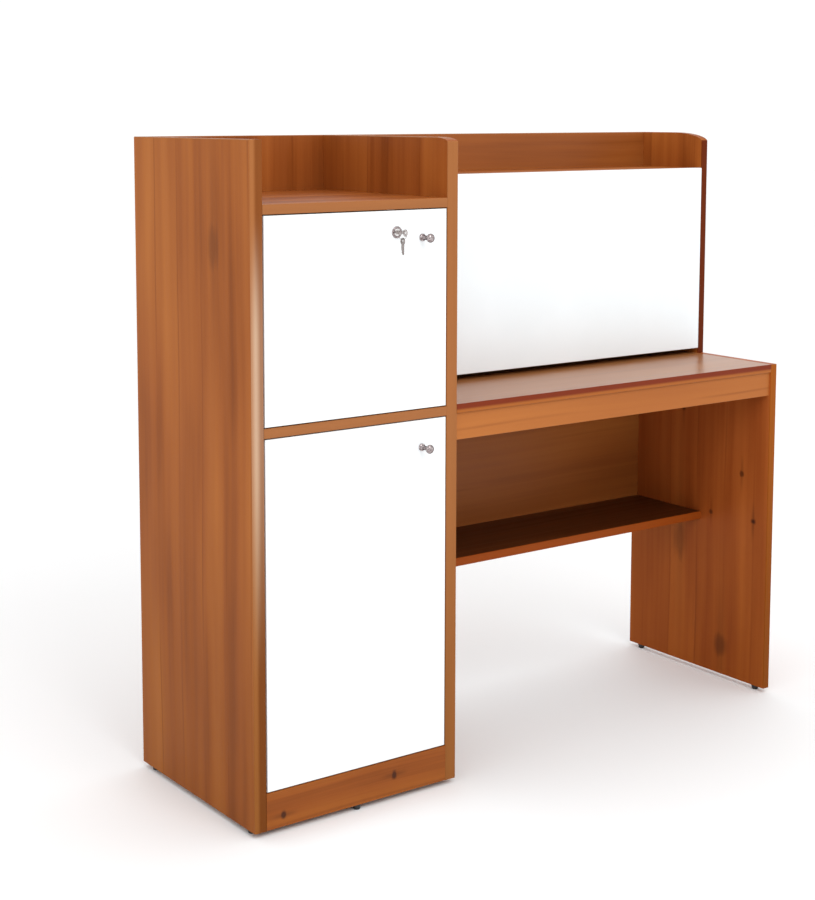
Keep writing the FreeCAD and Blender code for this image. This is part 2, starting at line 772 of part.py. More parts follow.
def key_ring():
    """The ring hangs on the key's neck, and the spare key hangs on the ring."""
    ring_y = neck_start + s.key_neck_length / 2
    ring_z = lock_z + s.key_neck_radius + s.ring_gap + s.ring_wire_radius - s.ring_radius
    ring = bind(doc.addObject("Part::Torus", "key_ring"), Radius1=s.ring_radius, Radius2=s.ring_wire_radius)
    piece("key_ring", put(ring, lock_x, ring_y, ring_z, "y"))
    half = s.key_thick / 2
    wire_z = ring_z - s.ring_radius
    hole_z = wire_z + s.ring_wire_radius + s.ring_gap - s.key_hole_radius
    bow_z = hole_z + s.key_hole_radius + s.key_hole_radius - s.key_bow_radius
    bow = rod("spare_key_bow", (lock_x - half, ring_y, bow_z), "x", s.key_bow_radius, s.key_thick)
    tip = s.spare_key_length - s.key_bow_radius
    width = s.key_blade_width / 2
    notch = s.key_notch
    points = [
        (-width, 0),
        (-width, -tip + notch),
        (-width + notch, -tip),
        (width - 2 * notch, -tip),
        (width - notch, -tip + 2 * notch),
        (width, -tip + 3 * notch),
        (width - notch, -tip + 4 * notch),
        (width, -tip + 5 * notch),
        (width, 0),
    ]
    blade = put(padded_body("spare_key_blade", "YZ_Plane", points, s.key_thick), lock_x, ring_y, bow_z)
    hole_start = (lock_x - half - s.cut_overrun, ring_y, hole_z)
    hole = rod("spare_key_hole", hole_start, "x", s.key_hole_radius, s.key_thick + 2 * s.cut_overrun)
    piece("spare_key", cut("spare_key", fuse("spare_key_blank", [bow, blade]), [hole]))


def catch(tag, shelf_under, door_high):
    """A magnetic catch under a shelf and the steel plate on the door that it holds."""
    middle = door_right - s.catch_inset - s.catch_plate_width / 2
    plate_low = (middle - s.catch_plate_width / 2, door_rear, door_high - s.catch_plate_height)
    plate_high = (middle + s.catch_plate_width / 2, door_rear + s.catch_plate_thick, door_high)
    piece(f"catch_plate_{tag}", box(f"catch_plate_{tag}", plate_low, plate_high))
    magnet_front = door_rear + s.catch_plate_thick + s.catch_gap
    case_front = magnet_front + s.magnet_proud
    case_low = (middle - s.catch_width / 2, case_front, shelf_under - s.catch_height)
    case_high = (middle + s.catch_width / 2, case_front + s.catch_depth, shelf_under)
    case = box(f"{tag}_catch_case", case_low, case_high)
    magnet_z = shelf_under - s.catch_height / 2
    magnet_low = (middle - s.magnet_width / 2, magnet_front, magnet_z - s.magnet_height / 2)
    magnet_high = (middle + s.magnet_width / 2, case_front + s.magnet_bed, magnet_z + s.magnet_height / 2)
    magnet = box(f"{tag}_magnet", magnet_low, magnet_high)
    return cut(f"{tag}_catch_housing", case, [magnet]), magnet


def catches():
    housings, magnets = zip(
        catch("upper", recess_under, upper_door_high),
        catch("lower", middle_under, lower_door_high),
    )
    group("catch_housings", list(housings))
    group("catch_magnets", list(magnets))


# Board ends between panels: the panels' names with the faces that the board meets.
CABINET_ENDS = (("cabinet_left_side", inner_left), ("cabinet_right_side", inner_right))
DESK_ENDS = (("cabinet_right_side", cabinet_right), ("leg_panel", leg_inner))
HUTCH_ENDS = (("cabinet_right_side", cabinet_right), ("hutch_side", hutch_inner))


def cam_fittings():
    """Cam discs in the undersides of the shelves, pulling on bolts in the panels at their ends."""
    shelves = (
        ("recess_floor", CABINET_ENDS, front, cabinet_back_face, recess_under),
        ("middle_shelf", CABINET_ENDS, front, cabinet_back_face, middle_under),
        ("bottom_board", CABINET_ENDS, plinth_back, cabinet_back_face, bottom_under),
        ("desktop", DESK_ENDS, front, rear, desk_under),
        ("book_shelf", DESK_ENDS, book_shelf_front, desk_back_face, book_under),
        ("hutch_shelf", HUTCH_ENDS, hutch_board_back, desk_back_face, hutch_shelf_under),
    )
    discs = []
    bolts = []
    for shelf, ends, near, far, under in shelves:
        for (panel, face), sign in zip(ends, (-1, 1)):
            for number, y in enumerate((near + s.fitting_inset, far - s.fitting_inset)):
                name = f"{shelf}_{panel}_{number}"
                disc_x = face - sign * s.fitting_reach
                disc = rod(f"{name}_disc", (disc_x, y, under), "z", s.disc_radius, s.disc_height)
                shaft_x = face - s.bolt_bite if sign < 0 else disc_x
                shaft_start = (shaft_x, y, under + s.board_thick / 2)
                length = s.fitting_reach + s.bolt_bite
                shaft = rod(f"{name}_shaft", shaft_start, "x", s.bolt_radius, length)
                drill(shelf, disc)
                drill(shelf, shaft)
                drill(panel, shaft)
                discs.append(disc)
                bolts.append(cut(f"{name}_bolt", shaft, [disc]))
    group("cam_discs", discs)
    group("cam_bolts", bolts)


def dowels():
    """Wooden dowels in the ends of the upright boards that no cam fitting holds."""
    uprights = (
        ("plinth", CABINET_ENDS, front, base, bottom_top),
        ("apron", DESK_ENDS, apron_front, apron_under, desk_under),
        ("book_back", DESK_ENDS, desk_back_face, book_under, desk_under),
        ("hutch_board", HUTCH_ENDS, hutch_front, hutch_board_under, hutch_shelf_under),
        ("hutch_back", HUTCH_ENDS, desk_back_face, s.desk_height, s.height),
    )
    rods = []
    for label, ends, near, low, high in uprights:
        y = near + s.board_thick / 2
        for (panel, face), sign in zip(ends, (-1, 1)):
            start_x = face - s.dowel_bite if sign < 0 else face - s.dowel_reach
            for number, z in enumerate((low + s.dowel_inset, high - s.dowel_inset)):
                name = f"{label}_{panel}_dowel_{number}"
                dowel = rod(name, (start_x, y, z), "x", s.dowel_radius, s.dowel_reach + s.dowel_bite)
                drill(label, dowel)
                drill(panel, dowel)
                rods.append(dowel)
    group("dowels", rods)


def check_document():
    """Stops if an object failed, or a sub-part's solids are missing or not valid."""
    doc.recompute()
    for thing in doc.Objects:
        if "Invalid" in thing.State or "Error" in thing.State:
            raise RuntimeError(f"{thing.Label} failed: {thing.State}")
    for thing in pieces:
        if thing.Shape.isNull() or not thing.Shape.isValid() or not thing.Shape.Solids:
            raise RuntimeError(f"{thing.Label} has no valid solid")


def write_pieces():
    os.makedirs("parts", exist_ok=True)
    for thing in pieces:
        thing.Shape.exportStep(f"parts/{thing.Label}.step")


cabinet()
desk()
hutch()
glides()
door("door_upper", upper_door_low, upper_door_high)
door("door_lower", lower_door_low, lower_door_high)
hinges("upper", "door_upper", upper_door_low, upper_door_high)
hinges("lower", "door_lower", lower_door_low, lower_door_high)
knob("upper", "door_upper", upper_door_high)
knob("lower", "door_lower", lower_door_high)
lock_barrel()
lock_core()
lock_strike()
door_key()
key_ring()
catches()
shelf_pegs()
cam_fittings()
dowels()
finish_boards()
check_document()
write_pieces()
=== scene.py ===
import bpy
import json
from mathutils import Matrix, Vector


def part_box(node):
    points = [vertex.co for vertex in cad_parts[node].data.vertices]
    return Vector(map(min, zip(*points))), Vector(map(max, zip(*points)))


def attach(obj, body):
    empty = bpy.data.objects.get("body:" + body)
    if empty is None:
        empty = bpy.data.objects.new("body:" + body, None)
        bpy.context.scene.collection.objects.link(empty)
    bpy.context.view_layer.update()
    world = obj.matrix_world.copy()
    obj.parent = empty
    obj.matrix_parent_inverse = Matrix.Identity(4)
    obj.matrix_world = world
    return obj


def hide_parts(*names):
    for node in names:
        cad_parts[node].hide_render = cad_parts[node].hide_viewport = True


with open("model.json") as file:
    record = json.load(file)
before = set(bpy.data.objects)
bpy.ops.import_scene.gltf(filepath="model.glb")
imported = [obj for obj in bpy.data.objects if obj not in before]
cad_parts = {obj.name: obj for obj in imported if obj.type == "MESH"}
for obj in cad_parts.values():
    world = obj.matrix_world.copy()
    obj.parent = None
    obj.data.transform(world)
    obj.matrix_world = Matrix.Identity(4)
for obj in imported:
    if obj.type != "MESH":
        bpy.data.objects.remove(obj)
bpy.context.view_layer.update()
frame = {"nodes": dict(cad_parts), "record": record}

import json
import math
from typing import NamedTuple

import bmesh
import bpy
from bpy.props import FloatProperty, FloatVectorProperty, PointerProperty
from mathutils import Euler, Matrix, Vector

bl_info = {
    "name": "Study Desk Dresser",
    "version": (1, 0, 0),
    "blender": (4, 5, 0),
    "location": "3D View > Sidebar > Study Desk",
    "description": "Gives a packed study desk its laminates, turned fittings and studio stage",
    "category": "Object",
}

X_AXIS, Y_AXIS, Z_AXIS = 0, 1, 2
NODES = frame["nodes"]
SLOTS = {part["node"]: part["material_slot"] for part in frame["record"]["subparts"]}
BODY_OF = {node: body for body, nodes in frame["record"]["behaviour"]["bodies"].items() for node in nodes}

# Planes of the desk in metres, read off its boards.
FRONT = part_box("cabinet_left_side")[0].y
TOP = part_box("cabinet_left_side")[1].z
LEFT_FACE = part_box("cabinet_left_side")[0].x
LEG_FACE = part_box("leg_panel")[0].x
BOOK_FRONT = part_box("book_shelf")[0].y
HUTCH_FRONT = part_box("hutch_side")[0].y
DESK_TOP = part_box("desktop")[1].z


# Settings


def colour(name, description, default):
    return FloatVectorProperty(
        name=name, description=description, default=default, size=3, min=0.0, max=1.0, subtype="COLOR"
    )


def length(name, description, default):
    return FloatProperty(
        name=name, description=description, default=default, min=0.0, unit="LENGTH", precision=5
    )


def share(name, description, default):
    return FloatProperty(
        name=name, description=description, default=default, min=0.0, max=1.0, subtype="FACTOR"
    )


def power(name, description, default):
    return FloatProperty(name=name, description=description, default=default, min=0.0, unit="POWER")


class DESK_LaminateFinish(bpy.types.PropertyGroup):
    """Colours and pattern sizes of the two laminates."""

    dark: colour("Dark Streak", "Darkest streak of the brown wood print", (0.160, 0.034, 0.005))
    middle: colour("Brown", "Middle tone of the brown wood print", (0.335, 0.090, 0.016))
    light: colour("Light Streak", "Lightest streak of the brown wood print", (0.460, 0.145, 0.027))
    knot: colour("Knot", "Heart of a printed knot", (0.050, 0.014, 0.006))
    band: colour("Edge Band", "Edge band on the boards' narrow faces", (0.355, 0.130, 0.040))
    left_band: colour("Left Panel Band", "Darker edge band of the cabinet's left side", (0.230, 0.068, 0.015))
    # This darker red is partly the band's own tone and partly painted shade on the hutch side's front edge.
    hutch_band: colour("Hutch Band", "Dark red edge band of the hutch side", (0.130, 0.020, 0.003))
    leg_band: colour("Leg Band", "Edge band of the leg", (0.330, 0.086, 0.008))
    # This pale colour is a painted highlight along the left side's front edge, where its rounding catches the
    # light.
    edge_highlight: colour("Edge Highlight", "Painted highlight on the front edge of the left side", (0.550, 0.365, 0.245))
    desk_band: colour("Desktop Band", "Dark red band along the desktop's front", (0.190, 0.022, 0.001))
    under_band: colour("Lower Band", "Paler lower part of the desktop's band", (0.350, 0.100, 0.014))
    book_band: colour("Book Shelf Band", "Redder band along the book shelf's front", (0.290, 0.058, 0.007))
    white: colour("Door White", "White laminate of the doors", (0.880, 0.905, 0.915))
    # The hutch board's white is the doors' white made cooler and brighter, painted light against the shade
    # and brown bounce on the board.
    lit_board_white: colour("Board White", "Door white made cooler and brighter as painted light on the hutch board", (0.890, 0.955, 0.985))
    stave_width: length("Stave Width", "Width of a printed stave", 0.086)
    highlight_width: length("Highlight Width", "How far the painted highlight reaches across the front edge", 0.020)
    band_depth: length("Band Depth", "How far the edge band wraps back from the edge", 0.0016)
    roughness: share("Roughness", "Roughness of the brown laminate", 0.36)
    desk_roughness: share("Desktop Roughness", "Roughness of the desktop's laminate", 0.34)
    desk_coat: share("Desktop Coat", "Weight of the clear coat on the desktop", 0.85)


class DESK_FittingSizes(bpy.types.PropertyGroup):
    """Sizes that the fittings' fine forms need."""

    eased_edge: length("Eased Edge", "Rounding along the edges of metal fittings", 0.0003)
    screw_shank: length("Screw Shank", "Radius of a hinge screw's shank", 0.0017)
    screw_head: length("Screw Head", "Height of a hinge screw's head", 0.0018)
    bolt_shank: length("Bolt Shank", "Radius of the shank of knob and latch screws", 0.0020)
    bolt_head: length("Bolt Head", "Height of the head of knob and latch screws", 0.0024)
    peg_collar: length("Peg Collar", "Radius of the collar on a shelf peg", 0.0042)
    knob_foot: length("Knob Foot", "Radius of a knob's foot", 0.0070)
    knob_neck: length("Knob Neck", "Radius of a knob's neck", 0.0040)
    knob_head: length("Knob Head", "Height of a knob's head", 0.0115)
    ring_wire: length("Ring Wire", "Radius of the split ring's wire", 0.00042)
    flutes: share("Flute Depth", "Depth of a dowel's flutes as a share of its radius", 0.09)


class DESK_StageSettings(bpy.types.PropertyGroup):
    """Camera, light and floor."""

    eye: FloatVectorProperty(
        name="Eye", description="Where the camera stands", default=(-2.1935, -2.7095, 1.3042), size=3,
        unit="LENGTH",
    )
    heading: FloatProperty(
        name="Heading", description="Turn of the view to the right of the depth axis",
        default=math.radians(35.46), subtype="ANGLE",
    )
    tilt: FloatProperty(
        name="Tilt", description="Tilt of the view above the horizon", default=math.radians(-6.23),
        subtype="ANGLE",
    )
    lens: FloatProperty(
        name="Lens", description="Focal length in millimetres", default=67.65, min=1.0, unit="CAMERA"
    )
    shift_x: FloatProperty(name="Shift X", description="Sideways shift of the picture", default=0.0319)
    shift_y: FloatProperty(name="Shift Y", description="Upward shift of the picture", default=-0.17)
    floor: colour("Floor", "Pale floor", (0.970, 0.975, 0.980))
    sky: FloatProperty(
        name="Sky", description="Strength of the light from all round", default=1.05, min=0.0, max=10.0
    )
    key: power("Key", "Power of the large light in front", 50.0)
    fill: power("Fill", "Power of the light on the left", 6.0)


# Node trees


class Graph:
    """Adds nodes to a tree and joins them."""

    def __init__(self, tree):
        self.tree = tree

    def add(self, kind, inputs=None, **settings):
        node = self.tree.nodes.new(kind)
        for name, value in settings.items():
            setattr(node, name, value)
        for name, value in (inputs or {}).items():
            self.feed(node.inputs[name], value)
        return node

    def feed(self, socket, value):
        if isinstance(value, bpy.types.NodeSocket):
            self.tree.links.new(value, socket)
        else:
            socket.default_value = value

    def math(self, operation, first, second=0.0):
        return self.add("ShaderNodeMath", {0: first, 1: second}, operation=operation).outputs[0]

    def times(self, value, factor):
        return self.math("MULTIPLY", value, factor)

    def vector(self, x, y, z=0.0):
        return self.add("ShaderNodeCombineXYZ", {0: x, 1: y, 2: z}).outputs[0]

    def noise(self, place, scale=1.0, detail=2.0, roughness=0.5):
        inputs = {"Vector": place, "Scale": scale, "Detail": detail, "Roughness": roughness}
        return self.add("ShaderNodeTexNoise", inputs).outputs["Fac"]

    def chance(self, place):
        node = self.add("ShaderNodeTexWhiteNoise", {"Vector": place}, noise_dimensions="3D")
        return node.outputs["Value"]

    def rise(self, value, low, high, start=0.0, end=1.0):
        inputs = {"Value": value, "From Min": low, "From Max": high, "To Min": start, "To Max": end}
        return self.add("ShaderNodeMapRange", inputs, interpolation_type="SMOOTHSTEP").outputs[0]

    def blend(self, factor, first, second, kind="MIX"):
        inputs = {0: factor, 6: first, 7: second}
        return self.add("ShaderNodeMix", inputs, data_type="RGBA", blend_type=kind).outputs[2]

    def ramp(self, value, stops):
        node = self.add("ShaderNodeValToRGB", {0: value})
        places = node.color_ramp.elements
        while len(places) < len(stops):
            places.new(0.5)
        for place, (at, tone) in zip(places, stops):
            place.position = at
            place.color = (*tone, 1.0)
        return node.outputs[0]

    def bump(self, height, strength, distance):
        inputs = {"Height": height, "Strength": strength, "Distance": distance}
        return self.add("ShaderNodeBump", inputs).outputs[0]


def opaque(tone):
    return (*tone, 1.0)


def shaded(tone, factor):
    return opaque([factor * part for part in tone])


def blank_material(name):
    material = bpy.data.materials.new(name)
    material.use_nodes = True
    material.node_tree.nodes.clear()
    graph = Graph(material.node_tree)
    shader = graph.add("ShaderNodeBsdfPrincipled")
    graph.add("ShaderNodeOutputMaterial", {"Surface": shader.outputs[0]})
    place = graph.add("ShaderNodeTexCoord").outputs["Object"]
    return material, graph, shader, place


# Brown laminate


class PrintLayer(NamedTuple):
    """A noise of the wood print: waves per metre across and along the grain, detail, offset and weight."""

    across: float
    along: float
    detail: float
    offset: float
    weight: float


class Knot(NamedTuple):
    """A printed knot: its middle, its half sizes across and along the grain, and its strength."""

    middle: tuple
    half_width: float
    half_length: float
    strength: float


# The axis that the grain runs along, and the two axes across it.
GRAIN_AXES = {"x": (X_AXIS, (Y_AXIS, Z_AXIS)), "z": (Z_AXIS, (X_AXIS, Y_AXIS))}

CLOUD = PrintLayer(across=5.0, along=1.6, detail=2.0, offset=0.0, weight=0.60)
BROAD = PrintLayer(across=17.0, along=0.9, detail=2.0, offset=3.1, weight=0.85)
STREAK = PrintLayer(across=85.0, along=1.3, detail=2.0, offset=5.7, weight=0.42)
PORE = PrintLayer(across=600.0, along=9.0, detail=1.0, offset=8.3, weight=0.14)
PRINT_ROUGHNESS = 0.55
NOISE_MIDDLE = 0.5

# The grain wanders by up to DRIFT_REACH metres, in DRIFT_SCALE waves a metre.
DRIFT_SCALE = 1.6
DRIFT_REACH = 0.024

# Each stave has a tone of its own, drawn at STAVE_CHANCE. TONE_STOPS are the levels of the dark, middle
# and light tone.
STAVE_CHANCE = 3.7
STAVE_WEIGHT = 0.10
TONE_STOPS = (0.14, 0.48, 0.86)

# A seam darkens a stave's sides. It starts and is full at the shares SEAM_EDGE of the stave's width from
# its middle, and it fades in between the levels SEAM_CLOUD of the cloud.
SEAM_EDGE = (0.455, 0.498)
SEAM_CLOUD = (0.40, 0.62)
SEAM_DEPTH = 0.38

# A knot in shares of its half sizes: where its heart fades, how ragged its rim is, and the width and run
# of its thin tail. The tail's depth is a share of the knot's strength.
KNOT_HEART = (0.25, 1.0)
KNOT_RAGGED = 0.8
KNOT_TAIL_WIDTH = 0.7
KNOT_TAIL_RUN = (0.5, 5.0)
KNOT_TAIL_DEPTH = 0.35

# The edge band's own faint streaks, and the blur of its paler foot in metres.
BAND_STREAK = (0.2, 0.8)
BAND_STREAK_DEPTH = 0.5
BAND_SHADE = 0.78
BAND_FOOT_BLUR = 0.003

# Painted highlight across the front edge, where its rounding catches the light, in shares of its width, and
# the heights in metres where it starts and ends.
HIGHLIGHT_INNER = (0.25, 0.65)
HIGHLIGHT_CREST = 0.45
HIGHLIGHT_RISE = (0.35, 0.92)
HIGHLIGHT_FADE = (1.0, 0.35)
HIGHLIGHT_START = (0.26, 0.72)
HIGHLIGHT_END = (0.90, 1.14)

# Painted shade towards the floor: how much faster than red each colour darkens, and the height where it
# starts.
FALL_RATES = (1.0, 1.15, 2.0)
FALL_HEIGHT = 0.8

# The surface: its roughness along the streaks, its clear coat, and its grooves with their depth in metres.
ROUGH_STREAK = (0.1, 0.9)
ROUGH_LESS = 0.05
ROUGH_MORE = 0.10
COAT_ROUGHNESS = 0.28
COAT_IOR = 1.25
STREAK_GROOVES = 0.6
PORE_GROOVES = 0.4
GROOVE_DEPTH = 0.0004


class BoardPrint:
    """The wood print of one board while its nodes are being joined."""

    def __init__(self, name, grain, finish, seed):
        self.finish = finish
        self.seed = seed
        self.material, self.graph, self.shader, place = blank_material(name)
        self.axes = self.graph.add("ShaderNodeSeparateXYZ", {0: place}).outputs
        self.along_axis, self.wide_axes = GRAIN_AXES[grain]
        self.along = self.axes[self.along_axis]
        self.across = self.graph.math("ADD", *(self.axes[axis] for axis in self.wide_axes))
        drift = self.graph.times(self.graph.noise(place, DRIFT_SCALE, detail=1.0), DRIFT_REACH)
        self.wavy = self.graph.math("ADD", self.across, drift)
        self.cloud = self.layer(CLOUD)
        self.streak = self.layer(STREAK)
        self.pore = self.layer(PORE)

    def layer(self, kind):
        """Noise that is drawn out along the grain."""
        graph = self.graph
        spot = graph.vector(
            graph.times(self.wavy, kind.across), graph.times(self.along, kind.along), kind.offset + self.seed
        )
        return graph.noise(spot, 1.0, kind.detail, PRINT_ROUGHNESS)

    def streaks(self, lift, contrast, fine):
        """The print's tones, with thin dark seams between its staves."""
        graph, finish = self.graph, self.finish
        stave_place = graph.math("ADD", graph.math("DIVIDE", self.wavy, finish.stave_width), self.seed)
        stave = graph.math("FLOOR", stave_place)
        weighted = (
            (graph.chance(graph.vector(stave, STAVE_CHANCE, self.seed)), STAVE_WEIGHT),
            (self.cloud, CLOUD.weight),
            (self.layer(BROAD), BROAD.weight),
            (self.streak, STREAK.weight * fine),
            (self.pore, PORE.weight * fine),
        )
        level = lift + NOISE_MIDDLE
        for layer, weight in weighted:
            term = graph.times(graph.math("SUBTRACT", layer, NOISE_MIDDLE), weight * contrast)
            level = graph.math("ADD", level, term)
        tones = (finish.dark, finish.middle, finish.light)
        tint = graph.ramp(level, tuple(zip(TONE_STOPS, tones)))

        from_middle = graph.math("SUBTRACT", graph.math("FRACT", stave_place), 0.5)
        line = graph.rise(graph.math("ABSOLUTE", from_middle), *SEAM_EDGE)
        seam = graph.times(line, graph.rise(self.cloud, *SEAM_CLOUD, 0.0, SEAM_DEPTH))
        return graph.blend(seam, tint, opaque(finish.dark))

    def with_knot(self, tint, knot):
        """Adds a knot with a ragged rim and a thin tail at both ends."""
        graph = self.graph
        middle_across = sum(knot.middle[axis] for axis in self.wide_axes)
        middle_along = knot.middle[self.along_axis]
        side = graph.math("DIVIDE", graph.math("SUBTRACT", self.across, middle_across), knot.half_width)
        end = graph.math("DIVIDE", graph.math("SUBTRACT", self.along, middle_along), knot.half_length)
        squares = graph.math("ADD", graph.math("POWER", side, 2.0), graph.math("POWER", end, 2.0))
        ragged = graph.times(graph.math("SUBTRACT", self.streak, NOISE_MIDDLE), KNOT_RAGGED)
        reach = graph.math("ADD", graph.math("SQRT", squares), ragged)
        heart = graph.times(graph.rise(reach, *KNOT_HEART, 1.0, 0.0), knot.strength)
        tail_side = graph.rise(graph.math("ABSOLUTE", side), 0.0, KNOT_TAIL_WIDTH, 1.0, 0.0)
        tail_depth = KNOT_TAIL_DEPTH * knot.strength
        tail_end = graph.rise(graph.math("ABSOLUTE", end), *KNOT_TAIL_RUN, tail_depth, 0.0)
        mark = graph.math("MAXIMUM", heart, graph.times(tail_side, tail_end))
        return graph.blend(mark, tint, opaque(self.finish.knot))

    def edge_mask(self, front, top):
        """Marks the narrow faces at the front, at the top or at both, or gives None for neither."""
        graph, depth = self.graph, self.finish.band_depth
        mask = None
        if front is not None:
            mask = graph.math("LESS_THAN", self.axes[Y_AXIS], front + depth)
        if top is not None:
            upper = graph.math("GREATER_THAN", self.axes[Z_AXIS], top - depth)
            mask = upper if mask is None else graph.math("MAXIMUM", mask, upper)
        return mask

    def edge_band(self, tone, foot):
        """The edge band's tint, paler below the height foot if one is given."""
        graph = self.graph
        level = graph.rise(self.streak, *BAND_STREAK, 0.0, BAND_STREAK_DEPTH)
        band = graph.blend(level, opaque(tone), shaded(tone, BAND_SHADE))
        if foot is not None:
            above = graph.rise(self.axes[Z_AXIS], foot - BAND_FOOT_BLUR, foot + BAND_FOOT_BLUR)
            band = graph.blend(above, opaque(self.finish.under_band), band)
        return band

    def highlighted_band(self, band, corner):
        """Paints a highlight on the band: the plain, lighter band tone beside its outer corner and a pale
        crest near that corner, where the rounded edge catches the light.
        """
        graph, finish, width = self.graph, self.finish, self.finish.highlight_width
        side, height = self.axes[X_AXIS], self.axes[Z_AXIS]
        inner_low, inner_high = HIGHLIGHT_INNER
        inner = graph.rise(side, corner + inner_low * width, corner + inner_high * width)
        band = graph.blend(inner, opaque(finish.band), band)
        crest = corner + HIGHLIGHT_CREST * width
        near = graph.times(
            graph.rise(side, corner, crest, *HIGHLIGHT_RISE), graph.rise(side, crest, corner + width, *HIGHLIGHT_FADE)
        )
        highlight_span = graph.times(graph.rise(height, *HIGHLIGHT_START), graph.rise(height, *HIGHLIGHT_END, 1.0, 0.0))
        return graph.blend(graph.times(near, highlight_span), band, opaque(finish.edge_highlight))

    def with_shade_to_floor(self, tint, shade_to_floor):
        """Paints shade on the board, darker and redder towards the floor."""
        graph = self.graph
        foot = [1.0 - rate * shade_to_floor for rate in FALL_RATES]
        height = graph.rise(self.axes[Z_AXIS], 0.0, FALL_HEIGHT)
        shade = graph.blend(height, opaque(foot), (1.0, 1.0, 1.0, 1.0))
        return graph.blend(1.0, tint, shade, "MULTIPLY")

    def surface(self, tint, roughness, sheen, coat, relief):
        """Joins the tint, the roughness and the fine grooves to the shader."""
        graph, sockets = self.graph, self.shader.inputs
        graph.feed(sockets["Base Color"], tint)
        mottled = graph.rise(self.streak, *ROUGH_STREAK, roughness - ROUGH_LESS, roughness + ROUGH_MORE)
        graph.feed(sockets["Roughness"], mottled)
        sockets["Specular IOR Level"].default_value = sheen
        sockets["Coat Weight"].default_value = coat
        sockets["Coat Roughness"].default_value = COAT_ROUGHNESS
        sockets["Coat IOR"].default_value = COAT_IOR
        wide = graph.times(self.streak, STREAK_GROOVES)
        thin = graph.times(self.pore, PORE_GROOVES)
        graph.feed(sockets["Normal"], graph.bump(graph.math("ADD", wide, thin), relief, GROOVE_DEPTH))


def wood_print(
    name, grain, finish, seed=0.0, lift=0.0, contrast=1.0, fine=1.0, cast=None, knots=(), band_front=None,
    band_top=None, band_tone=None, band_foot=None, highlight_corner=None, shade_to_floor=0.0, roughness=None,
    sheen=0.15, coat=0.0, relief=0.10,
):
    """Brown wood-print laminate of long soft streaks, with edge band on the narrow faces and printed knots.

    The lift lightens the print, contrast and fine set the depth of all streaks and of the narrow ones,
    and the cast tints it. The band lies at the planes band_front and band_top, is paler below band_foot
    and carries a painted highlight beside the given corner. The board is painted darker and redder towards
    the floor by the given amount, a painted shade. The sheen, coat and relief are the strengths of its
    reflections, of its clear coat and of its grooves."""
    board = BoardPrint(name, grain, finish, seed)
    tint = board.streaks(lift, contrast, fine)
    if cast is not None:
        tint = board.graph.blend(1.0, tint, opaque(cast), "MULTIPLY")
    for knot in knots:
        tint = board.with_knot(tint, knot)
    mask = board.edge_mask(band_front, band_top)
    if mask is not None:
        band = board.edge_band(finish.band if band_tone is None else band_tone, band_foot)
        if highlight_corner is not None:
            band = board.highlighted_band(band, highlight_corner)
        tint = board.graph.blend(mask, tint, band)
    if shade_to_floor:
        tint = board.with_shade_to_floor(tint, shade_to_floor)
    board.surface(tint, finish.roughness if roughness is None else roughness, sheen, coat, relief)
    return board.material


# Other finishes


# Levels of a cloudy noise between which one tone turns into the other.
CLOUD_TURN = (0.3, 0.7)


def white_laminate(name, white):
    """Smooth white laminate with a faint pearl in its surface."""
    pearl_shade = 0.965
    material, graph, shader, place = blank_material(name)
    cloud = graph.noise(place, scale=5.0, detail=3.0)
    fine = graph.noise(place, scale=1400.0)
    tint = graph.blend(graph.rise(cloud, *CLOUD_TURN), shaded(white, pearl_shade), opaque(white))
    graph.feed(shader.inputs["Base Color"], tint)
    graph.feed(shader.inputs["Roughness"], graph.rise(cloud, 0.2, 0.8, start=0.30, end=0.38))
    graph.feed(shader.inputs["Normal"], graph.bump(fine, strength=0.05, distance=0.0001))
    return material


def plated_metal(name, bright, dull_and_reflection, rim, roughness, spread, flake):
    """Plated metal with cloudy bright and dark patches, the dark ones partly its own mottle and partly
    painted reflections of a darker surround, darker rims and fine polishing marks.
    """
    marks_to_flakes = 14.0
    material, graph, shader, place = blank_material(name)
    cloud = graph.noise(place, flake, detail=4.0, roughness=0.6)
    marks = graph.noise(place, flake * marks_to_flakes)
    tint = graph.blend(graph.rise(cloud, *CLOUD_TURN), opaque(dull_and_reflection), opaque(bright))
    graph.feed(shader.inputs["Base Color"], tint)
    shader.inputs["Metallic"].default_value = 1.0
    shader.inputs["Specular Tint"].default_value = opaque(rim)
    graph.feed(shader.inputs["Roughness"], graph.rise(cloud, 0.25, 0.75, roughness, roughness + spread))
    graph.feed(shader.inputs["Normal"], graph.bump(marks, strength=0.06, distance=0.00005))
    return material


def moulded_plastic(name, tone, patch, roughness, grit):
    """Moulded plastic with a fine sparked texture."""
    spread = 0.15
    material, graph, shader, place = blank_material(name)
    cloud = graph.noise(place, scale=90.0, detail=3.0)
    grain = graph.noise(place, grit)
    tint = graph.blend(graph.rise(cloud, *CLOUD_TURN), opaque(tone), opaque(patch))
    graph.feed(shader.inputs["Base Color"], tint)
    graph.feed(shader.inputs["Roughness"], graph.rise(grain, 0.2, 0.8, roughness, roughness + spread))
    graph.feed(shader.inputs["Normal"], graph.bump(grain, strength=0.25, distance=0.0001))
    return material


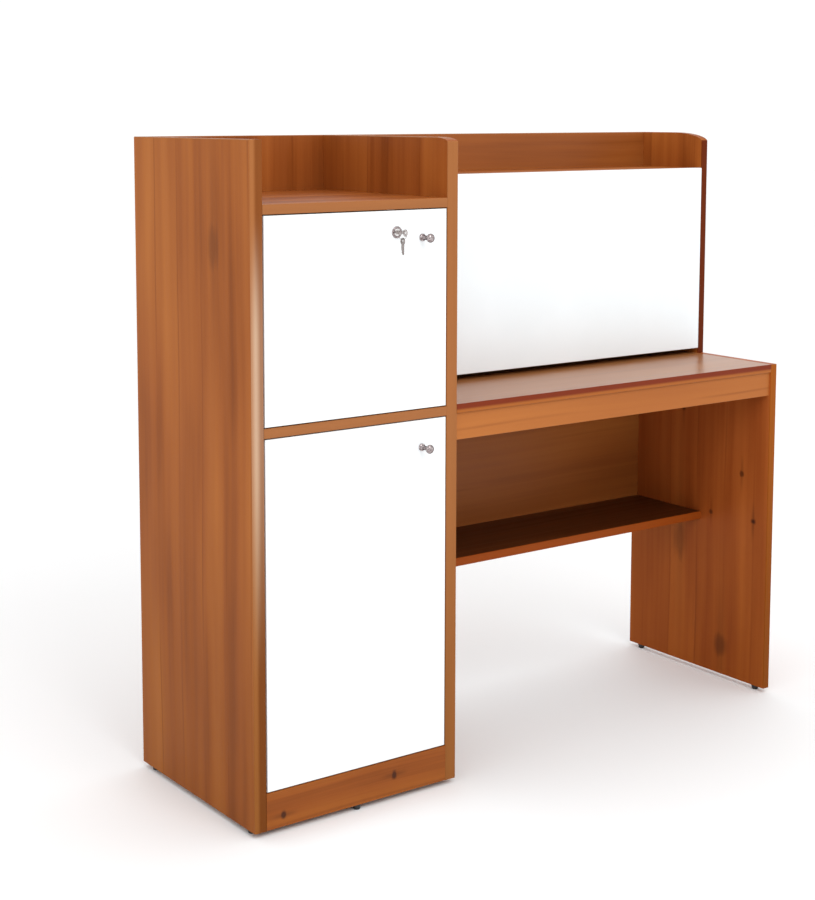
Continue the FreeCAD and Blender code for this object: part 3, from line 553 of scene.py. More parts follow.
def bare_beech(name):
    """Bare beech with its short dark flecks."""
    pale, deep, fleck_tone = (0.68, 0.48, 0.29), (0.50, 0.32, 0.17), (0.36, 0.19, 0.09)
    grain_stretch, fleck_along, fleck_across = 60.0, 300.0, 1500.0
    material, graph, shader, place = blank_material(name)
    x, y, z = graph.add("ShaderNodeSeparateXYZ", {0: place}).outputs
    grain = graph.noise(graph.vector(graph.times(x, grain_stretch), y, z), scale=40.0, detail=3.0)
    fleck_place = graph.vector(
        graph.times(x, fleck_along), graph.times(y, fleck_across), graph.times(z, fleck_across)
    )
    fleck = graph.rise(graph.noise(fleck_place, detail=1.0), 0.62, 0.70)
    wood = graph.ramp(grain, ((0.25, deep), (0.75, pale)))
    graph.feed(shader.inputs["Base Color"], graph.blend(fleck, wood, opaque(fleck_tone)))
    graph.feed(shader.inputs["Roughness"], graph.rise(grain, 0.2, 0.8, start=0.55, end=0.75))
    graph.feed(shader.inputs["Normal"], graph.bump(grain, strength=0.2, distance=0.0002))
    return material


# In each metal the dull tone is partly its own mottle and partly a painted reflection of a darker surround.
METALS = {
    "polished_chrome": {
        "bright": (0.92, 0.91, 0.90), "dull_and_reflection": (0.62, 0.59, 0.58), "rim": (0.05, 0.03, 0.03),
        "roughness": 0.08, "spread": 0.10, "flake": 260.0,
    },
    # The chrome of the knobs and the lock's barrel is darkened all over; its dark tones are painted
    # reflections.
    "dark_reflection_chrome": {
        "bright": (0.62, 0.55, 0.55), "dull_and_reflection": (0.10, 0.06, 0.06), "rim": (0.04, 0.02, 0.02),
        "roughness": 0.06, "spread": 0.08, "flake": 330.0,
    },
    "bright_nickel": {
        "bright": (0.76, 0.72, 0.70), "dull_and_reflection": (0.34, 0.29, 0.28), "rim": (0.06, 0.04, 0.04),
        "roughness": 0.14, "spread": 0.12, "flake": 300.0,
    },
    "nickel_steel": {
        "bright": (0.46, 0.41, 0.39), "dull_and_reflection": (0.20, 0.17, 0.16), "rim": (0.10, 0.08, 0.08),
        "roughness": 0.18, "spread": 0.14, "flake": 300.0,
    },
    "zinc_steel": {
        "bright": (0.62, 0.63, 0.65), "dull_and_reflection": (0.47, 0.47, 0.47), "rim": (0.60, 0.60, 0.62),
        "roughness": 0.28, "spread": 0.16, "flake": 200.0,
    },
}
PLASTICS = {
    "black_plastic": {
        "tone": (0.012, 0.012, 0.013), "patch": (0.022, 0.022, 0.023), "roughness": 0.40, "grit": 2600.0,
    },
    "white_plastic": {
        "tone": (0.80, 0.79, 0.76), "patch": (0.73, 0.72, 0.69), "roughness": 0.38, "grit": 2600.0,
    },
    "ferrite": {
        "tone": (0.030, 0.030, 0.032), "patch": (0.065, 0.064, 0.066), "roughness": 0.50, "grit": 900.0,
    },
}
FINISHES = {}


def finish_of(slot):
    """The material of a fitting's slot, made the first time that a fitting asks for it."""
    if slot not in FINISHES:
        if slot in METALS:
            FINISHES[slot] = plated_metal(slot, **METALS[slot])
        elif slot in PLASTICS:
            FINISHES[slot] = moulded_plastic(slot, **PLASTICS[slot])
        elif slot == "bare_beech":
            FINISHES[slot] = bare_beech(slot)
        else:
            raise RuntimeError(f"no finish is known for {slot}")
    return FINISHES[slot]


def wear(node, material):
    """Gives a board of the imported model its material."""
    for slot in NODES[node].material_slots:
        slot.link = "OBJECT"
        slot.material = material


# Meshes


MERGE_DISTANCE = 1e-6
FLAT_LIMIT = math.radians(0.5)
SMOOTH_LIMIT = math.radians(35.0)
EASED_FROM = math.radians(40.0)
EASED_SEGMENTS = 2


def keep(name, mesh, node, material):
    """Puts a finished mesh in the scene in place of a node."""
    mesh.materials.clear()
    mesh.materials.append(material)
    piece = bpy.data.objects.new(name, mesh)
    bpy.context.scene.collection.objects.link(piece)
    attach(piece, BODY_OF[node])
    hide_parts(node)


def finished_mesh(name, shape, smooth_limit=SMOOTH_LIMIT):
    """Turns a bmesh into a mesh that is smooth but for its sharp edges."""
    mesh = bpy.data.meshes.new(name)
    shape.to_mesh(mesh)
    shape.free()
    mesh.shade_smooth()
    mesh.set_sharp_from_angle(angle=smooth_limit)
    return mesh


def merged_copy(node):
    """A joined copy of a node's mesh, with its flat faces whole."""
    shape = bmesh.new()
    shape.from_mesh(NODES[node].data)
    bmesh.ops.remove_doubles(shape, verts=shape.verts, dist=MERGE_DISTANCE)
    bmesh.ops.dissolve_limit(shape, angle_limit=FLAT_LIMIT, verts=shape.verts, edges=shape.edges)
    return shape


def eased(node, width, slot=None):
    """Replaces a fitting by a copy with its sharp edges rounded."""
    shape = merged_copy(node)
    sharp = [edge for edge in shape.edges if edge.is_manifold and edge.calc_face_angle() > EASED_FROM]
    bmesh.ops.bevel(
        shape, geom=sharp, offset=width, offset_type="OFFSET", segments=EASED_SEGMENTS, profile=0.5,
        affect="EDGES", clamp_overlap=True,
    )
    name = f"{node}_eased"
    keep(name, finished_mesh(name, shape), node, finish_of(slot or SLOTS[node]))


def solid_boxes(node):
    """The (lowest, highest) corners of every separate solid of a node."""
    shape = merged_copy(node)
    left = set(shape.verts)
    boxes = []
    while left:
        seen = {left.pop()}
        edge_of_search = list(seen)
        while edge_of_search:
            vertex = edge_of_search.pop()
            for edge in vertex.link_edges:
                other = edge.other_vert(vertex)
                if other not in seen:
                    seen.add(other)
                    edge_of_search.append(other)
        left -= seen
        places = [vertex.co for vertex in seen]
        low = Vector([min(place[axis] for place in places) for axis in range(3)])
        high = Vector([max(place[axis] for place in places) for axis in range(3)])
        boxes.append((low, high))
    shape.free()
    return sorted(boxes, key=lambda box: tuple(round(part, 5) for part in box[0]))


def turned(profile, centre, facing):
    """A closed shape turned from (radius, height) points, its axis along facing and zero height at centre."""
    steps = 64
    angles = [2.0 * math.pi * step / steps for step in range(steps)]
    shape = bmesh.new()
    rings = []
    for radius, height in profile:
        if radius == 0.0:
            rings.append([shape.verts.new((0.0, 0.0, height))])
            continue
        rings.append([shape.verts.new((radius * math.cos(a), radius * math.sin(a), height)) for a in angles])
    for lower, upper in zip(rings, rings[1:]):
        for step in range(steps):
            corners = [lower[step % len(lower)], lower[(step + 1) % len(lower)]]
            corners += [upper[(step + 1) % len(upper)], upper[step % len(upper)]]
            shape.faces.new(list(dict.fromkeys(corners)))
    turn = Vector(facing).to_track_quat("Z", "Y").to_matrix().to_4x4()
    shape.transform(Matrix.Translation(centre) @ turn)
    bmesh.ops.recalc_face_normals(shape, faces=shape.faces)
    return shape


def arc(centre, radius, start, end, steps):
    """(radius, height) points along a part circle, its angles in degrees from straight out."""
    points = []
    for step in range(steps + 1):
        angle = math.radians(start + (end - start) * step / steps)
        points.append((max(0.0, centre[0] + radius * math.cos(angle)), centre[1] + radius * math.sin(angle)))
    return points


# Fittings that repeat


class FittingTree(Graph):
    """A geometry tree that sets one small fitting, made from named sizes, on every point of a mesh.

    Each point carries the direction that its fitting faces."""

    def __init__(self, name, sizes):
        super().__init__(bpy.data.node_groups.new(name, "GeometryNodeTree"))
        interface = self.tree.interface
        interface.new_socket("Points", in_out="INPUT", socket_type="NodeSocketGeometry")
        interface.new_socket("Finish", in_out="INPUT", socket_type="NodeSocketMaterial")
        for size in sizes:
            interface.new_socket(size, in_out="INPUT", socket_type="NodeSocketFloat")
        interface.new_socket("Fittings", in_out="OUTPUT", socket_type="NodeSocketGeometry")
        self.given = self.add("NodeGroupInput").outputs

    def frustum(self, low_radius, high_radius, depth, start=0.0, corners=32):
        """A closed cone with its top cut off, standing on the given height."""
        inputs = {
            "Vertices": corners, "Radius Bottom": low_radius, "Radius Top": high_radius, "Depth": depth,
        }
        cone = self.add("GeometryNodeMeshCone", inputs, fill_type="NGON").outputs["Mesh"]
        return self.moved(cone, self.vector(0.0, 0.0, start))

    def moved(self, mesh, offset):
        return self.add("GeometryNodeTransform", {"Geometry": mesh, "Translation": offset}).outputs[0]

    def joined(self, *meshes):
        node = self.add("GeometryNodeJoinGeometry")
        for mesh in meshes:
            self.tree.links.new(mesh, node.inputs[0])
        return node.outputs[0]

    def cross_cut(self, mesh, width, reach, depth, top):
        """Takes a cross-shaped recess out of a mesh, down from the given height."""
        height = self.times(depth, 2.0)
        bars = []
        for size in (self.vector(width, reach, height), self.vector(reach, width, height)):
            bar = self.add("GeometryNodeMeshCube", {"Size": size}).outputs["Mesh"]
            bars.append(self.moved(bar, self.vector(0.0, 0.0, top)))
        node = self.add("GeometryNodeMeshBoolean", operation="DIFFERENCE", solver="EXACT")
        self.feed(node.inputs[0], mesh)
        for bar in bars:
            self.tree.links.new(bar, node.inputs[1])
        return node.outputs[0]

    def close(self, fitting):
        """Sets the fitting on the points, gives it the finish and ends the tree."""
        inputs = {"Name": "facing"}
        facing = self.add("GeometryNodeInputNamedAttribute", inputs, data_type="FLOAT_VECTOR").outputs[0]
        turn = self.add("FunctionNodeAlignRotationToVector", {"Vector": facing}, axis="Z").outputs[0]
        inputs = {"Points": self.given["Points"], "Instance": fitting, "Rotation": turn}
        set_out = self.add("GeometryNodeInstanceOnPoints", inputs).outputs[0]
        real = self.add("GeometryNodeRealizeInstances", {0: set_out}).outputs[0]
        inputs = {"Geometry": real, "Material": self.given["Finish"]}
        self.add("NodeGroupOutput", {0: self.add("GeometryNodeSetMaterial", inputs).outputs[0]})
        return self.tree


def screw_tree():
    """A pan-head screw with a cross recess, its seat at the point and its head on the facing side."""
    rim_share = 0.45
    crown_share = 0.62
    recess_share = 0.8
    recess_reach = 1.05
    recess_width = 0.26
    tree = FittingTree("cross_head_screw", ("Head Radius", "Head Height", "Shank Radius", "Shank Length"))
    radius, height = tree.given["Head Radius"], tree.given["Head Height"]
    rim = tree.times(height, rim_share)
    washer = tree.frustum(radius, radius, rim)
    crown_height = tree.math("SUBTRACT", height, rim)
    crown = tree.frustum(radius, tree.times(radius, crown_share), crown_height, rim)
    depth = tree.times(crown_height, recess_share)
    reach = tree.times(radius, recess_reach)
    crown = tree.cross_cut(crown, tree.times(radius, recess_width), reach, depth, height)
    thick, long = tree.given["Shank Radius"], tree.given["Shank Length"]
    shank = tree.frustum(thick, thick, long, tree.times(long, -1.0), corners=16)
    return tree.close(tree.joined(washer, crown, shank))


def disc_tree():
    """A cam disc with a cross recess in its chamfered open face, which lies at the point."""
    lip_share = 0.06
    chamfer_share = 0.93
    recess_share = 0.85
    recess_reach = 1.1
    recess_width = 0.24
    tree = FittingTree("cam_disc", ("Radius", "Height"))
    radius, height = tree.given["Radius"], tree.given["Height"]
    lip = tree.times(height, lip_share)
    body_height = tree.math("SUBTRACT", height, lip)
    body = tree.frustum(radius, radius, body_height, tree.times(height, -1.0), corners=40)
    narrow = tree.times(radius, chamfer_share)
    face = tree.frustum(radius, narrow, lip, tree.times(lip, -1.0), corners=40)
    reach = tree.times(radius, recess_reach)
    depth = tree.times(lip, recess_share)
    face = tree.cross_cut(face, tree.times(radius, recess_width), reach, depth, 0.0)
    return tree.close(tree.joined(body, face))


def peg_tree():
    """A shelf peg: a pin in the panel, a thin collar on its face and a tapered end under the shelf."""
    nose_share = 0.3
    tip_share = 0.75
    tree = FittingTree("shelf_peg", ("Radius", "Length", "Bite", "Collar Radius", "Collar Height"))
    radius, collar_radius = tree.given["Radius"], tree.given["Collar Radius"]
    nose = tree.times(radius, nose_share)
    pin_length = tree.math("SUBTRACT", tree.given["Length"], nose)
    start = tree.times(tree.given["Bite"], -1.0)
    pin = tree.frustum(radius, radius, pin_length, start, corners=24)
    tip_start = tree.math("ADD", start, pin_length)
    tip = tree.frustum(radius, tree.times(radius, tip_share), nose, tip_start, corners=24)
    collar = tree.frustum(collar_radius, collar_radius, tree.given["Collar Height"], corners=24)
    return tree.close(tree.joined(pin, tip, collar))


def dowel_tree():
    """A fluted dowel, its middle at the point."""
    flute_count = 18
    tree = FittingTree("fluted_dowel", ("Radius", "Length", "Flute Depth"))
    radius = tree.given["Radius"]
    inner = tree.times(radius, tree.math("SUBTRACT", 1.0, tree.given["Flute Depth"]))
    inputs = {"Points": flute_count, "Inner Radius": inner, "Outer Radius": radius}
    section = tree.add("GeometryNodeCurveStar", inputs).outputs["Curve"]
    half = tree.times(tree.given["Length"], 0.5)
    inputs = {
        "Start": tree.vector(0.0, 0.0, tree.times(half, -1.0)), "End": tree.vector(0.0, 0.0, half),
    }
    line = tree.add("GeometryNodeCurvePrimitiveLine", inputs).outputs[0]
    inputs = {"Curve": line, "Profile Curve": section, "Fill Caps": True}
    return tree.close(tree.add("GeometryNodeCurveToMesh", inputs).outputs[0])


def glide_tree():
    """A tapered glide with a chamfered sole and a collar, its sole at the point."""
    edge_share = 0.1
    stem_share = 0.62
    tread_share = 0.86
    neck_share = 0.93
    tree = FittingTree("glide", ("Sole Radius", "Collar Radius", "Height"))
    sole, collar, height = (tree.given[name] for name in ("Sole Radius", "Collar Radius", "Height"))
    edge = tree.times(height, edge_share)
    foot = tree.frustum(tree.times(sole, tread_share), sole, edge)
    stem_height = tree.times(height, stem_share)
    stem = tree.frustum(sole, tree.times(collar, neck_share), stem_height, edge)
    rest_start = tree.math("ADD", edge, stem_height)
    rest = tree.frustum(collar, collar, tree.math("SUBTRACT", height, rest_start), rest_start)
    return tree.close(tree.joined(foot, stem, rest))


def set_fittings(name, node, tree, points, facings, sizes):
    """Runs a fitting tree on points and keeps the result as a plain mesh in place of a node."""
    material = finish_of(SLOTS[node])
    cloud = bpy.data.meshes.new(f"{name}_points")
    cloud.from_pydata([tuple(point) for point in points], [], [])
    facing = cloud.attributes.new("facing", "FLOAT_VECTOR", "POINT")
    for item, direction in zip(facing.data, facings):
        item.vector = direction
    holder = bpy.data.objects.new(f"{name}_points", cloud)
    modifier = holder.modifiers.new("fittings", "NODES")
    modifier.node_group = tree
    values = {"Finish": material, **sizes}
    for item in tree.interface.items_tree:
        if item.in_out == "INPUT" and item.name in values:
            modifier[item.identifier] = values[item.name]
    bpy.context.scene.collection.objects.link(holder)
    depsgraph = bpy.context.evaluated_depsgraph_get()
    mesh = bpy.data.meshes.new_from_object(holder.evaluated_get(depsgraph))
    holder.modifiers.remove(modifier)
    bpy.data.objects.remove(holder)
    mesh.name = name
    if "facing" in mesh.attributes:
        mesh.attributes.remove(mesh.attributes["facing"])
    if not mesh.polygons:
        raise RuntimeError(f"{name} has no faces")
    mesh.shade_smooth()
    mesh.set_sharp_from_angle(angle=SMOOTH_LIMIT)
    keep(name, mesh, node, material)


# Operators


LEFT_KNOTS = (Knot((LEFT_FACE, -0.069, 1.064), 0.026, 0.060, 0.34),)
LEG_KNOTS = (
    Knot((LEG_FACE, -0.1205, 0.490), 0.0090, 0.011, 0.75),
    Knot((LEG_FACE, -0.1566, 0.3873), 0.0110, 0.011, 0.95),
    Knot((LEG_FACE, -0.0285, 0.3852), 0.0080, 0.009, 0.75),
    Knot((LEG_FACE, 0.0639, 0.6197), 0.0090, 0.014, 0.80),
    Knot((LEG_FACE, -0.0657, 0.0770), 0.0280, 0.042, 0.55),
    Knot((LEG_FACE, 0.0700, 0.3000), 0.0300, 0.070, 0.40),
)
PLINTH_KNOTS = (
    Knot((-0.6177, FRONT, 0.0321), 0.0110, 0.0080, 0.90),
    Knot((-0.3690, FRONT, 0.0506), 0.0110, 0.0080, 0.90),
)

# How far below the desktop's top its band turns paler, in metres.
DESK_BAND_DROP = 0.011


class DESK_OT_brown_boards(bpy.types.Operator):
    """Lay the brown wood print on the panels, shelves, rails and backs"""

    bl_idname = "desk.brown_boards"
    bl_label = "Brown Boards"

    def execute(self, context):
        finish = context.scene.desk_laminate
        shelves = ("recess_floor", "middle_shelf", "bottom_board", "inner_shelf", "hutch_shelf")
        rows = (
            ("left_panel_print", "z", ("cabinet_left_side",), {
                "seed": 0.0, "lift": 0.04, "fine": 0.45, "cast": (1.0, 1.05, 1.10), "knots": LEFT_KNOTS,
                "band_front": FRONT, "band_top": TOP, "band_tone": finish.left_band,
                "highlight_corner": LEFT_FACE, "shade_to_floor": 0.26, "sheen": 0.06,
            }),
            ("upright_print", "z", ("cabinet_right_side",), {
                "seed": 4.0, "fine": 0.7, "band_front": FRONT, "band_top": TOP, "shade_to_floor": 0.22, "sheen": 0.08,
            }),
            ("leg_print", "z", ("leg_panel",), {
                "seed": 7.0, "lift": 0.13, "contrast": 1.25, "fine": 0.55, "cast": (1.10, 0.95, 1.15),
                "knots": LEG_KNOTS, "band_front": FRONT, "band_tone": finish.leg_band, "shade_to_floor": 0.32,
                "sheen": 0.06,
            }),
            ("hutch_side_print", "z", ("hutch_side",), {
                "seed": 11.0, "band_front": HUTCH_FRONT, "band_tone": finish.hutch_band, "sheen": 0.05,
            }),
            ("shelf_print", "x", shelves, {"seed": 2.0, "band_front": FRONT}),
            # The book shelf's print is darkened, a painted shade in the bay under the desktop.
            ("book_shelf_print", "x", ("book_shelf",), {
                "seed": 5.0, "lift": -0.40, "cast": (0.45, 0.55, 1.0), "band_front": BOOK_FRONT,
                "band_tone": finish.book_band, "sheen": 0.06,
            }),
            # The cast greys the desktop's print, a painted sheen standing in for its reflection at low
            # angles; the coat adds real reflection.
            ("desktop_print", "x", ("desktop",), {
                "seed": 9.0, "lift": 0.06, "contrast": 0.55, "cast": (0.96, 1.34, 2.5), "band_front": FRONT,
                "band_tone": finish.desk_band, "band_foot": DESK_TOP - DESK_BAND_DROP,
                "roughness": finish.desk_roughness, "sheen": 0.05, "coat": finish.desk_coat, "relief": 0.02,
            }),
            ("plinth_print", "x", ("plinth",), {"seed": 3.0, "knots": PLINTH_KNOTS, "shade_to_floor": 0.22}),
            ("apron_print", "x", ("apron",), {
                "seed": 6.0, "lift": 0.24, "contrast": 0.5, "fine": 0.6, "cast": (0.95, 1.0, 1.2),
            }),
            ("back_print", "x", ("hutch_back", "book_back"), {
                "seed": 8.0, "contrast": 0.7, "fine": 0.8, "cast": (0.93, 1.0, 1.05), "band_top": TOP,
                "sheen": 0.2,
            }),
            # The cabinet back's print is darkened a little, a painted shade of the open recess at the
            # cabinet's top.
            ("cabinet_back_print", "z", ("cabinet_back",), {
                "seed": 12.0, "lift": -0.12, "contrast": 0.7, "band_top": TOP,
            }),
        )
        for name, grain, nodes, settings in rows:
            material = wood_print(name, grain, finish, **settings)
            for node in nodes:
                wear(node, material)
        return {"FINISHED"}


class DESK_OT_white_boards(bpy.types.Operator):
    """Lay the white laminate on the doors and the hutch board"""

    bl_idname = "desk.white_boards"
    bl_label = "White Boards"

    def execute(self, context):
        finish = context.scene.desk_laminate
        door_white = white_laminate("door_laminate", finish.white)
        for node in ("door_upper", "door_lower"):
            wear(node, door_white)
        # The hutch board takes the cooler, brighter white, painted light against its shade.
        wear("hutch_board", white_laminate("hutch_board_lit_laminate", finish.lit_board_white))
        return {"FINISHED"}


# A knob's foot in metres, the height of its rim and the rounding over it, and its neck in shares of the
# neck's radius with heights in metres.
KNOB_RIM = 0.0016
KNOB_ROUND = 0.0012
KNOB_NECK = ((1.3, 0.0032), (1.1, 0.0042), (1.0, 0.0060))

# The neck's top in shares of its radius and, below the head's middle, of half the head's height.
KNOB_THROAT = ((1.0, 1.12), (1.07, 0.98))

# Degrees around the head from under its widest line to its top.
KNOB_HEAD_START = -56.0
KNOB_HEAD_SWEEP = 146.0


class DESK_OT_knobs(bpy.types.Operator):
    """Turn the round chrome knobs of both doors"""

    bl_idname = "desk.knobs"
    bl_label = "Knobs"

    def execute(self, context):
        sizes = context.scene.desk_fittings
        foot, neck, half_head = sizes.knob_foot, sizes.knob_neck, sizes.knob_head / 2.0
        steps = 16
        for tag in ("upper", "lower"):
            node = f"knob_{tag}"
            low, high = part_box(node)
            reach = high.y - low.y
            widest = (high.x - low.x) / 2.0
            centre = Vector(((low.x + high.x) / 2.0, high.y, (low.z + high.z) / 2.0))
            middle = reach - half_head
            profile = [(0.0, 0.0), (foot, 0.0), (foot, KNOB_RIM)]
            profile += arc((foot - KNOB_ROUND, KNOB_RIM), KNOB_ROUND, 0.0, 90.0, 5)
            profile += [(wide * neck, height) for wide, height in KNOB_NECK]
            profile += [(wide * neck, middle - below * half_head) for wide, below in KNOB_THROAT]
            for step in range(steps + 1):
                angle = math.radians(KNOB_HEAD_START + KNOB_HEAD_SWEEP * step / steps)
                radius = widest * math.cos(angle) if step < steps else 0.0
                profile.append((radius, middle + half_head * math.sin(angle)))
            shape = turned(profile, centre, (0.0, -1.0, 0.0))
            name = f"turned_knob_{tag}"
            keep(name, finished_mesh(name, shape), node, finish_of("dark_reflection_chrome"))
        return {"FINISHED"}


class DESK_OT_lock(bpy.types.Operator):
    """Ease the edges of the lock's barrel, plug, nut, latch and strike"""

    bl_idname = "desk.lock"
    bl_label = "Lock"

    def execute(self, context):
        edge = context.scene.desk_fittings.eased_edge
        eased("lock_barrel", edge, "dark_reflection_chrome")
        for node in ("lock_core", "lock_nut", "lock_latch", "lock_strike"):
            eased(node, edge)
        return {"FINISHED"}


class DESK_OT_keys(bpy.types.Operator):
    """Ease the two keys and wind the split ring that joins them"""

    bl_idname = "desk.keys"
    bl_label = "Keys"

    def execute(self, context):
        sizes = context.scene.desk_fittings
        eased("door_key", sizes.eased_edge, "bright_nickel")
        eased("spare_key", sizes.eased_edge)
        low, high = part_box("key_ring")
        centre = (low + high) / 2.0
        depth_axis = Vector((0.0, 1.0, 0.0))
        wire = sizes.ring_wire
        radius = (high.x - low.x) / 2.0 - wire
        turns = 2
        steps = 128
        sides = 10
        depth = high.y - low.y - 2.0 * wire
        shape = bmesh.new()
        rings = []
        for step in range(steps + 1):
            angle = 2.0 * math.pi * turns * step / steps - math.pi / 2.0
            out = Vector((math.cos(angle), 0.0, math.sin(angle)))
            middle = centre + out * radius + depth_axis * ((step / steps - 0.5) * depth)
            ring = []
            for side in range(sides):
                around = 2.0 * math.pi * side / sides
                offset = math.cos(around) * out + math.sin(around) * depth_axis
                ring.append(shape.verts.new(middle + wire * offset))
            rings.append(ring)
        for near, far in zip(rings, rings[1:]):
            for side in range(sides):
                following = (side + 1) % sides
                shape.faces.new((near[side], near[following], far[following], far[side]))
        shape.faces.new(rings[0])
        shape.faces.new(rings[-1])
        bmesh.ops.recalc_face_normals(shape, faces=shape.faces)
        mesh = finished_mesh("split_ring", shape, math.radians(50.0))
        keep("split_ring", mesh, "key_ring", finish_of("nickel_steel"))
        return {"FINISHED"}


class DESK_OT_hinges(bpy.types.Operator):
    """Ease the pressed cups, arms, plates and pins of the four hinges"""

    bl_idname = "desk.hinges"
    bl_label = "Hinges"

    def execute(self, context):
        edge = context.scene.desk_fittings.eased_edge
        for tag in ("upper", "lower"):
            for kind in ("cups", "arms", "plates", "pins"):
                eased(f"hinge_{kind}_{tag}", edge)
        return {"FINISHED"}


class DESK_OT_screws(bpy.types.Operator):
    """Set cross-head screws in the hinges, knobs and latch"""

    bl_idname = "desk.screws"
    bl_label = "Screws"

    def execute(self, context):
        sizes = context.scene.desk_fittings
        tree = screw_tree()
        small = (sizes.screw_head, sizes.screw_shank)
        large = (sizes.bolt_head, sizes.bolt_shank)
        rows = [("latch_screw", Y_AXIS, large)]
        for tag in ("upper", "lower"):
            rows.append((f"hinge_cup_screws_{tag}", Y_AXIS, small))
            rows.append((f"hinge_plate_screws_{tag}", X_AXIS, small))
            rows.append((f"knob_screw_{tag}", Y_AXIS, large))
        for node, axis, (head, shank) in rows:
            boxes = solid_boxes(node)
            facing = Vector((0.0, 0.0, 0.0))
            facing[axis] = 1.0
            points = []
            for low, high in boxes:
                seat = (low + high) / 2.0
                seat[axis] = high[axis] - head
                points.append(seat)
            low, high = boxes[0]
            values = {
                "Head Radius": (high.z - low.z) / 2.0,
                "Head Height": head,
                "Shank Radius": shank,
                "Shank Length": high[axis] - low[axis] - head,
            }
            set_fittings(f"{node}_set", node, tree, points, [facing] * len(points), values)
        return {"FINISHED"}


class DESK_OT_catches(bpy.types.Operator):
    """Ease the magnetic catches and their plates"""

    bl_idname = "desk.catches"
    bl_label = "Catches"

    def execute(self, context):
        edge = context.scene.desk_fittings.eased_edge
        moulded_edge = 3.0 * edge
        eased("catch_housings", moulded_edge)
        for node in ("catch_magnets", "catch_plate_upper", "catch_plate_lower"):
            eased(node, edge)
        return {"FINISHED"}


class DESK_OT_shelf_pegs(bpy.types.Operator):
    """Set the collared pegs under the loose shelf"""

    bl_idname = "desk.shelf_pegs"
    bl_label = "Shelf Pegs"

    def execute(self, context):
        collar_share = 0.8
        panel_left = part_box("cabinet_left_side")[1].x
        panel_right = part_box("cabinet_right_side")[0].x
        shelf_low, shelf_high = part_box("inner_shelf")
        pins = solid_boxes("shelf_pegs")
        middle = (shelf_low.x + shelf_high.x) / 2.0
        points, facings = [], []
        for low, high in pins:
            on_left = high.x < middle
            face = panel_left if on_left else panel_right
            points.append(Vector((face, (low.y + high.y) / 2.0, (low.z + high.z) / 2.0)))
            facings.append((1.0 if on_left else -1.0, 0.0, 0.0))
        low, high = pins[0]
        values = {
            "Radius": (high.z - low.z) / 2.0,
            "Length": high.x - low.x,
            "Bite": panel_left - low.x,
            "Collar Radius": context.scene.desk_fittings.peg_collar,
            "Collar Height": collar_share * (shelf_low.x - panel_left),
        }
        set_fittings("shelf_pegs_set", "shelf_pegs", peg_tree(), points, facings, values)
        return {"FINISHED"}


def low_middle(low, high):
    """The middle of a box's underside."""
    return Vector(((low.x + high.x) / 2.0, (low.y + high.y) / 2.0, low.z))


class DESK_OT_joint_fittings(bpy.types.Operator):
    """Set the cam discs, bolts and fluted dowels that join the boards"""

    bl_idname = "desk.joint_fittings"
    bl_label = "Joint Fittings"

    def execute(self, context):
        sizes = context.scene.desk_fittings
        discs = solid_boxes("cam_discs")
        low, high = discs[0]
        points = [low_middle(*box) for box in discs]
        values = {"Radius": (high.x - low.x) / 2.0, "Height": high.z - low.z}
        facings = [(0.0, 0.0, -1.0)] * len(points)
        set_fittings("cam_discs_set", "cam_discs", disc_tree(), points, facings, values)
        rods = solid_boxes("dowels")
        low, high = rods[0]
        points = [(rod_low + rod_high) / 2.0 for rod_low, rod_high in rods]
        values = {
            "Radius": (high.z - low.z) / 2.0, "Length": high.x - low.x, "Flute Depth": sizes.flutes,
        }
        facings = [(1.0, 0.0, 0.0)] * len(points)
        set_fittings("fluted_dowels", "dowels", dowel_tree(), points, facings, values)
        eased("cam_bolts", sizes.eased_edge)
        return {"FINISHED"}


class DESK_OT_glides(bpy.types.Operator):
    """Set the black glides under the panels"""

    bl_idname = "desk.glides"
    bl_label = "Glides"

    def execute(self, context):
        sole_share = 0.82
        feet = solid_boxes("glides")
        low, high = feet[0]
        collar = (high.x - low.x) / 2.0
        points = [low_middle(*box) for box in feet]
        values = {"Sole Radius": collar * sole_share, "Collar Radius": collar, "Height": high.z - low.z}
        facings = [(0.0, 0.0, 1.0)] * len(points)
        set_fittings("glides_set", "glides", glide_tree(), points, facings, values)
        return {"FINISHED"}


# Where the lights hang, how wide they are and what they point at, in metres.
KEY_PLACE = (-0.5, -3.2, 3.4)
KEY_WIDTH = 2.4
FILL_PLACE = (-4.2, -1.2, 2.2)
FILL_WIDTH = 2.6
LIT_MIDDLE = Vector((0.0, 0.0, 0.6))

FLOOR_REACH = 30.0
FLOOR_SHADE = 0.985
SENSOR_WIDTH = 36.0
VIEW_END = 200.0


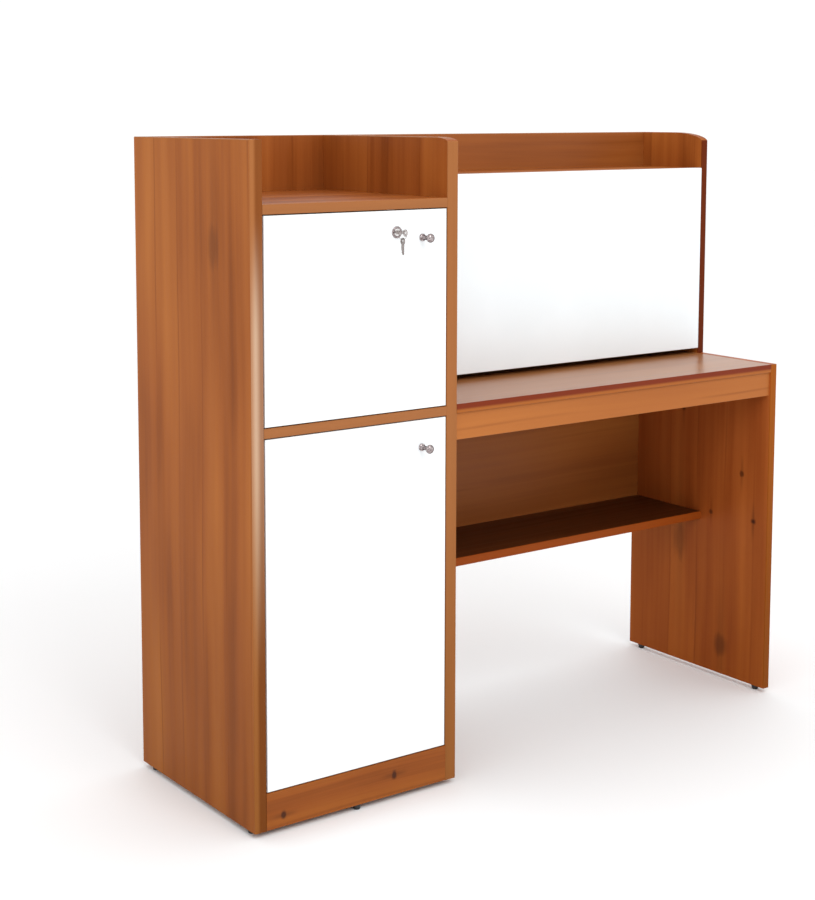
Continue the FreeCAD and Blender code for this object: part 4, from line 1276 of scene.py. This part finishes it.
class DESK_OT_stage(bpy.types.Operator):
    """Lay the pale floor, hang the soft lights and stand the camera"""

    bl_idname = "desk.stage"
    bl_label = "Stage"

    def execute(self, context):
        scene = context.scene
        stage = scene.desk_stage
        scene.view_settings.view_transform = "Standard"

        shape = bmesh.new()
        bmesh.ops.create_grid(shape, x_segments=8, y_segments=8, size=FLOOR_REACH)
        floor = bpy.data.objects.new("floor", finished_mesh("floor", shape))
        material, graph, shader, place = blank_material("pale_floor")
        cloud = graph.noise(place, scale=0.6)
        tint = graph.blend(cloud, shaded(stage.floor, FLOOR_SHADE), opaque(stage.floor))
        graph.feed(shader.inputs["Base Color"], tint)
        graph.feed(shader.inputs["Roughness"], graph.rise(cloud, 0.2, 0.8, start=0.62, end=0.72))
        floor.data.materials.append(material)
        scene.collection.objects.link(floor)

        world = bpy.data.worlds.new("white_room")
        world.use_nodes = True
        backdrop = world.node_tree.nodes["Background"]
        backdrop.inputs["Color"].default_value = (1.0, 1.0, 1.0, 1.0)
        backdrop.inputs["Strength"].default_value = stage.sky
        scene.world = world

        for name, place, width, watts in (
            ("key_light", KEY_PLACE, KEY_WIDTH, stage.key),
            ("fill_light", FILL_PLACE, FILL_WIDTH, stage.fill),
        ):
            lamp = bpy.data.lights.new(name, "AREA")
            lamp.shape = "DISK"
            lamp.size = width
            lamp.energy = watts
            holder = bpy.data.objects.new(name, lamp)
            holder.location = place
            holder.rotation_euler = (LIT_MIDDLE - Vector(place)).to_track_quat("-Z", "Y").to_euler()
            scene.collection.objects.link(holder)

        lens = bpy.data.cameras.new("camera")
        lens.lens = stage.lens
        lens.sensor_width = SENSOR_WIDTH
        lens.shift_x = stage.shift_x
        lens.shift_y = stage.shift_y
        lens.clip_end = VIEW_END
        camera = bpy.data.objects.new("camera", lens)
        camera.location = stage.eye
        camera.rotation_euler = Euler((math.pi / 2.0 + stage.tilt, 0.0, -stage.heading))
        scene.collection.objects.link(camera)
        scene.camera = camera
        return {"FINISHED"}


OPERATORS = (
    DESK_OT_stage,
    DESK_OT_brown_boards,
    DESK_OT_white_boards,
    DESK_OT_knobs,
    DESK_OT_lock,
    DESK_OT_keys,
    DESK_OT_hinges,
    DESK_OT_screws,
    DESK_OT_catches,
    DESK_OT_shelf_pegs,
    DESK_OT_joint_fittings,
    DESK_OT_glides,
)


class DESK_PT_dresser(bpy.types.Panel):
    """Lists the settings and the pieces of the desk"""

    bl_idname = "DESK_PT_dresser"
    bl_label = "Study Desk"
    bl_space_type = "VIEW_3D"
    bl_region_type = "UI"
    bl_category = "Study Desk"

    def draw(self, context):
        scene = context.scene
        for group in (scene.desk_laminate, scene.desk_fittings, scene.desk_stage):
            box = self.layout.box()
            for name in group.__annotations__:
                box.prop(group, name)
        for operator in OPERATORS:
            self.layout.operator(operator.bl_idname)


CLASSES = (DESK_LaminateFinish, DESK_FittingSizes, DESK_StageSettings, *OPERATORS, DESK_PT_dresser)


def register():
    for cls in CLASSES:
        bpy.utils.register_class(cls)
    bpy.types.Scene.desk_laminate = PointerProperty(type=DESK_LaminateFinish)
    bpy.types.Scene.desk_fittings = PointerProperty(type=DESK_FittingSizes)
    bpy.types.Scene.desk_stage = PointerProperty(type=DESK_StageSettings)


def unregister():
    del bpy.types.Scene.desk_stage
    del bpy.types.Scene.desk_fittings
    del bpy.types.Scene.desk_laminate
    for cls in reversed(CLASSES):
        bpy.utils.unregister_class(cls)


def main():
    register()
    for operator in OPERATORS:
        family, name = operator.bl_idname.split(".")
        getattr(getattr(bpy.ops, family), name)()


if __name__ == "__main__":
    main()
